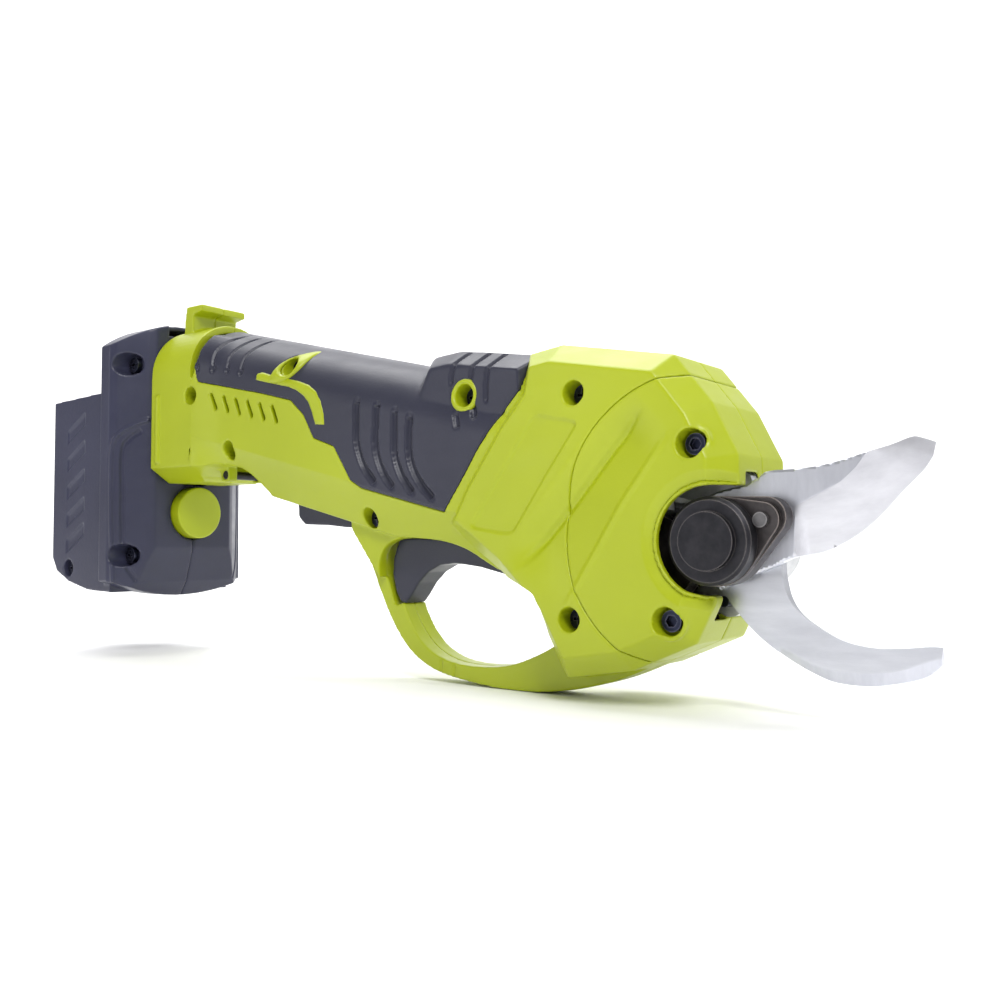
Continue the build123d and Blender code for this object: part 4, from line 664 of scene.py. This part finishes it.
inlay("screw_ring", circle(5.6, (-88.9, 48.2)), trees, 0.7, 1.4, 0.5, "tool", LIME,
      [circle(3.75, (-88.9, 48.2))], -1, 2)


# ------------------------------------------------------------------ blades and head

BLADE = smooth_curve([
    (5.6, -10), (13, -7.4), (19.3, -4.5), (27, -2.9), (32.4, -0.5), (37.7, 2.9), (42.9, 7.5), (48, 13.1),
    (52.9, 18), (55.4, 21.7),
], 6) + smooth_curve([
    (56.2, 25.2), (53.1, 26.4), (50.6, 26.8), (45.7, 25), (39.5, 23.3), (30, 20.8), (21.8, 19.8),
    (12.7, 19.4), (9.5, 17.6), (5.9, 15.8),
], 4) + [(-2.0, 14.3), (-9.0, 11.3), (-13.4, 5.6), (-14.4, -1.0), (-12.9, -6.6), (-8.5, -11.7), (-2.0, -14.0)]
BLADE_GRIND = [(40.8, 24.4), (39.5, 23.0), (36.6, 19.2), (32.6, 15.7), (27.2, 12.9), (20.4, 9.6)]
HEEL = (19.4, -6.0)
GROUND_AREA = BLADE_GRIND[::-1] + [(41.0, 27.0), (60.0, 34.0), (60.0, -20.0), (19.4, -20.0)]
BLADE_EDGE = smooth_curve([
    (13, -7.4), (19.3, -4.5), (27, -2.9), (32.4, -0.5), (37.7, 2.9), (42.9, 7.5), (48, 13.1),
    (52.9, 18), (55.4, 21.7), (56.2, 25.2),
], 6)
COUNTER = smooth_curve([
    (15, -9.3), (16.4, -14.8), (19.1, -18.8), (24.1, -22.7), (30.9, -26.3), (38.7, -27.9),
    (46.3, -27.7), (53.7, -26.8), (56.8, -26.8),
], 6) + smooth_curve([
    (56.4, -31.4), (52.4, -34.7), (46.2, -36.7), (38.6, -38.1), (30.7, -38), (25.3, -36.6),
    (17, -32.6), (8.4, -26.8), (2.5, -20.9), (-3, -14.6),
], 6) + [(-9.0, -11.3), (-13.4, -5.6), (-14.4, 1.0), (-12.9, 6.6), (-8.5, 11.7), (-3.2, 14.2), (-3.2, 19.0),
         (1.6, 22.0), (6.0, 18.6), (8.6, 11.6), (12.9, 6.6), (14.4, -1.0)]
COUNTER_EDGE = smooth_curve([
    (15, -9.3), (16.4, -14.8), (19.1, -18.8), (24.1, -22.7), (30.9, -26.3), (38.7, -27.9),
    (46.3, -27.7), (53.7, -26.8), (56.8, -26.8),
], 6)
COUNTER_BACK = smooth_curve([
    (56.4, -31.4), (52.4, -34.7), (46.2, -36.7), (38.6, -38.1), (30.7, -38), (25.3, -36.6), (20, -34.2),
], 6)


def blade_near(x, z):
    """The moving blade's right-hand face: flat above the grind line and hollowed down to the edge below."""
    to_grind, _ = distance_to_line(x, z, BLADE_GRIND)
    to_edge, _ = distance_to_line(x, z, BLADE_EDGE)
    ground = inside(x, z, GROUND_AREA)
    share = np.where(ground, to_grind / (to_grind + to_edge + 1e-6), 0.0)
    start = step(x, 19.6, 23.5)
    rim = signed(x, z, BLADE)
    return -10.5 + 2.9 * share * start + 0.25 * np.clip(1 - rim / 0.3, 0, 1) * (share <= 0)


def blade_far(x, z):
    return np.full(x.shape, -7.12)


def counter_near(x, z):
    """The fixed blade's face towards the moving one: flat, with a worn lip along the cutting edge."""
    to_back, _ = distance_to_line(x, z, strip)
    ground = inside(x, z, outer_strip)
    return -6.98 + np.where(ground, np.clip(to_back * 0.28, 0, 1.3), 0.0)


def counter_outer(x, z):
    """Its back edge is ground off on the outside and its far face thins towards the cutting edge."""
    to_edge, _ = distance_to_line(x, z, COUNTER_EDGE)
    to_back, _ = distance_to_line(x, z, COUNTER_BACK)
    thin = 2.6 * np.clip(1 - to_edge / 6.0, 0, 1) * step(x, 14.0, 22.0)
    back = 1.0 * np.clip(1 - to_back / 3.0, 0, 1)
    return -3.02 - np.maximum(thin, back)


def two_faces(mesh, first, second, chooser):
    """Gives the faces chosen by their middle the second material."""
    mesh.materials.append(first)
    mesh.materials.append(second)
    middles = np.empty(len(mesh.polygons) * 3)
    mesh.polygons.foreach_get("center", middles)
    middles = middles.reshape(-1, 3) / MM - np.array(PIVOT) / MM
    picked = chooser(middles[:, 0], middles[:, 1], middles[:, 2])
    mesh.polygons.foreach_set("material_index", picked.astype(np.int32))


spacing = 0.6
mesh = plate(BLADE, [circle(6.1)], spacing, blade_near, blade_far, [BLADE_GRIND + [HEEL]])
two_faces(mesh, FLAT, GROUND, lambda x, y, z: inside(x, z, GROUND_AREA))
blade = new_object("moving_blade", mesh, "blade_set", ["cutting_blade"])
mesh.polygons.foreach_set("use_smooth", np.ones(len(mesh.polygons), dtype=bool))
sharp_by_angle(blade, 12)

strip = smooth_curve([(60, -29.9), (55.6, -29.9), (46.3, -33.4), (38.6, -34.7), (32.1, -34.7), (25.3, -33.9),
                      (14.0, -29.0)], 4)
outer_strip = strip + [(14.0, -50.0), (60.0, -50.0)]
mesh = plate(COUNTER, [circle(6.1)], spacing, counter_near, counter_outer, [strip])
two_faces(mesh, HOOK, FLAT, lambda x, y, z: inside(x, z, outer_strip) & (x > 20))
counter = new_object("hooked_blade", mesh, "tool", ["counter_blade"])
mesh.polygons.foreach_set("use_smooth", np.ones(len(mesh.polygons), dtype=bool))
sharp_by_angle(counter, 25)


# ------------------------------------------------------------------ CAD pieces that stay, with finished edges

def finish_node(node, material, radius=0.25, segments=2, angle=32):
    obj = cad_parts[node]
    obj.data.materials.clear()
    obj.data.materials.append(material)
    if radius:
        bevel = obj.modifiers.new("edges", "BEVEL")
        bevel.width = radius * MM
        bevel.segments = segments
        bevel.limit_method = "ANGLE"
        bevel.angle_limit = math.radians(angle)
        bevel.harden_normals = True
    obj.data.polygons.foreach_set("use_smooth", np.ones(len(obj.data.polygons), dtype=bool))


for node, material, radius in (
    ("pivot_cap", BLACKED, 0.5), ("lock_plate", GUN, 0.3), ("lock_screw", PIN, 0.35),
    ("blade_gear", GUN, 0.25), ("drive_pins", STEEL, 0.1), ("pivot_bolt", BLACKED, 0.4),
    ("cover_bolts", BOLT, 0.25), ("housing_screws", BOLT, 0.2), ("battery_screws", BOLT, 0.2),
    ("counter_blade_screws", BOLT, 0.15), ("gear_case_front", CAST, 0.2), ("pivot_bush", BRONZE, 0.1),
    ("output_pinion", STEEL, 0), ("pinion_bearing", STEEL, 0.1), ("planet_carrier", STEEL, 0.2),
    ("planet_pins", STEEL, 0.1), ("planet_gear_1", STEEL, 0), ("planet_gear_2", STEEL, 0),
    ("planet_gear_3", STEEL, 0), ("sun_gear", STEEL, 0), ("ring_gear", STEEL, 0),
    ("motor_flange", CAST, 0.15), ("motor_can", STEEL, 0.3), ("motor_end_cap", BLACK, 0.25),
    ("motor_magnets", MAGNET, 0.2), ("motor_rotor", LAMINATE, 0.05), ("motor_shaft", STEEL, 0.15),
    ("commutator", COPPER, 0.1), ("controller_board", BOARD, 0.1), ("heatsink", CAST, 0.15),
    ("power_capacitor", BLACK, 0.3), ("power_leads", JACKET, 0.1), ("terminal_block", BLACK, 0.2),
    ("contact_blades", COPPER, 0.1), ("lanyard_pin", BLACKED, 0.2), ("lever_pins", STEEL, 0.15),
    ("trigger_spring", SPRING, 0), ("lockoff_spring", SPRING, 0), ("button_spring", SPRING, 0),
    ("trigger_switch", BLACK, 0.2), ("battery_cells", WRAP, 0.3), ("cell_holder_lower", HOLDER, 0.15),
    ("cell_holder_upper", HOLDER, 0.15), ("nickel_strips", STEEL, 0), ("battery_board", BOARD, 0.1),
    ("battery_terminals", COPPER, 0.1), ("release_latch", BLACK, 0.25),
):
    finish_node(node, material, radius)


# ------------------------------------------------------------------ floor, light and camera

def stage_piece(name, mesh, material):
    obj = bpy.data.objects.new(name, mesh)
    bpy.context.scene.collection.objects.link(obj)
    mesh.materials.append(material)
    return obj


paper = Wiring("paper_floor")
paper.join(paper.ramp(paper.noise(3.0, 3.0), [(0.3, (0.93, 0.93, 0.935)), (0.7, (0.96, 0.96, 0.965))]),
           paper.shader.inputs["Base Color"])
paper.shader.inputs["Roughness"].default_value = 0.9
floor_z = CAD_BOX[0][2]
SWEEP_START, SWEEP_RADIUS, SWEEP_TOP = 1.6, 1.4, 4.0
profile = [(-6.0, floor_z)]
for turn in range(25):
    angle = math.radians(90 * turn / 24)
    profile.append((
        SWEEP_START + SWEEP_RADIUS * math.sin(angle),
        floor_z + SWEEP_RADIUS * (1 - math.cos(angle)),
    ))
profile.append((SWEEP_START + SWEEP_RADIUS, SWEEP_TOP))
yaw = math.radians(37.2)
corners = [(x * math.cos(yaw) - y * math.sin(yaw), x * math.sin(yaw) + y * math.cos(yaw), z)
           for y, z in profile for x in (-7.0, 7.0)]
faces = [(2 * k, 2 * k + 1, 2 * k + 3, 2 * k + 2) for k in range(len(profile) - 1)]
sweep = bpy.data.meshes.new("floor")
sweep.from_pydata(corners, [], faces)
sweep.polygons.foreach_set("use_smooth", np.ones(len(faces), dtype=bool))
stage_piece("floor", sweep, paper.material)


def area_light(name, location, target, size, power, colour=(1.0, 1.0, 1.0)):
    lamp = bpy.data.lights.new(name, "AREA")
    lamp.shape = "RECTANGLE"
    lamp.size = size[0]
    lamp.size_y = size[1]
    lamp.energy = power
    lamp.color = colour
    obj = bpy.data.objects.new(name, lamp)
    bpy.context.scene.collection.objects.link(obj)
    obj.location = location
    obj.rotation_euler = (Vector(target) - Vector(location)).to_track_quat("-Z", "Y").to_euler()


area_light("key", (0.85, -0.75, 0.95), (0.05, 0.0, 0.0), (0.45, 0.45), 13.0)
area_light("top", (-0.2, 0.1, 1.1), (-0.05, 0.0, 0.0), (1.0, 0.7), 8.0)
area_light("fill", (-0.7, -1.0, 0.25), (-0.05, 0.0, 0.0), (0.5, 0.5), 1.5)
area_light("rim", (0.8, 0.7, 0.5), (0.0, 0.0, 0.0), (0.5, 0.8), 2.0)
area_light("backdrop", (-0.9, 0.9, 2.4), (-1.8, 2.4, 0.3), (4.0, 1.2), 110.0)

world = bpy.data.worlds.new("studio")
bpy.context.scene.world = world
world.use_nodes = True
world.node_tree.nodes["Background"].inputs["Color"].default_value = (1.0, 1.0, 1.0, 1.0)
world.node_tree.nodes["Background"].inputs["Strength"].default_value = 0.32

# The camera stands where the photograph's perspective puts it, seen from the blade pivot.
pitch = math.radians(2.3)
forward = Vector((-math.sin(yaw) * math.cos(pitch), math.cos(yaw) * math.cos(pitch), math.sin(pitch)))
lens = bpy.data.cameras.new("camera")
lens.sensor_width = 36.0
lens.lens = 36.97
lens.clip_start = 0.01
camera = bpy.data.objects.new("camera", lens)
bpy.context.scene.collection.objects.link(camera)
camera.location = place(125.0, -281.0, 0.0)
camera.rotation_euler = forward.to_track_quat("-Z", "Y").to_euler()
bpy.context.scene.camera = camera
bpy.context.scene.view_settings.view_transform = "Standard"
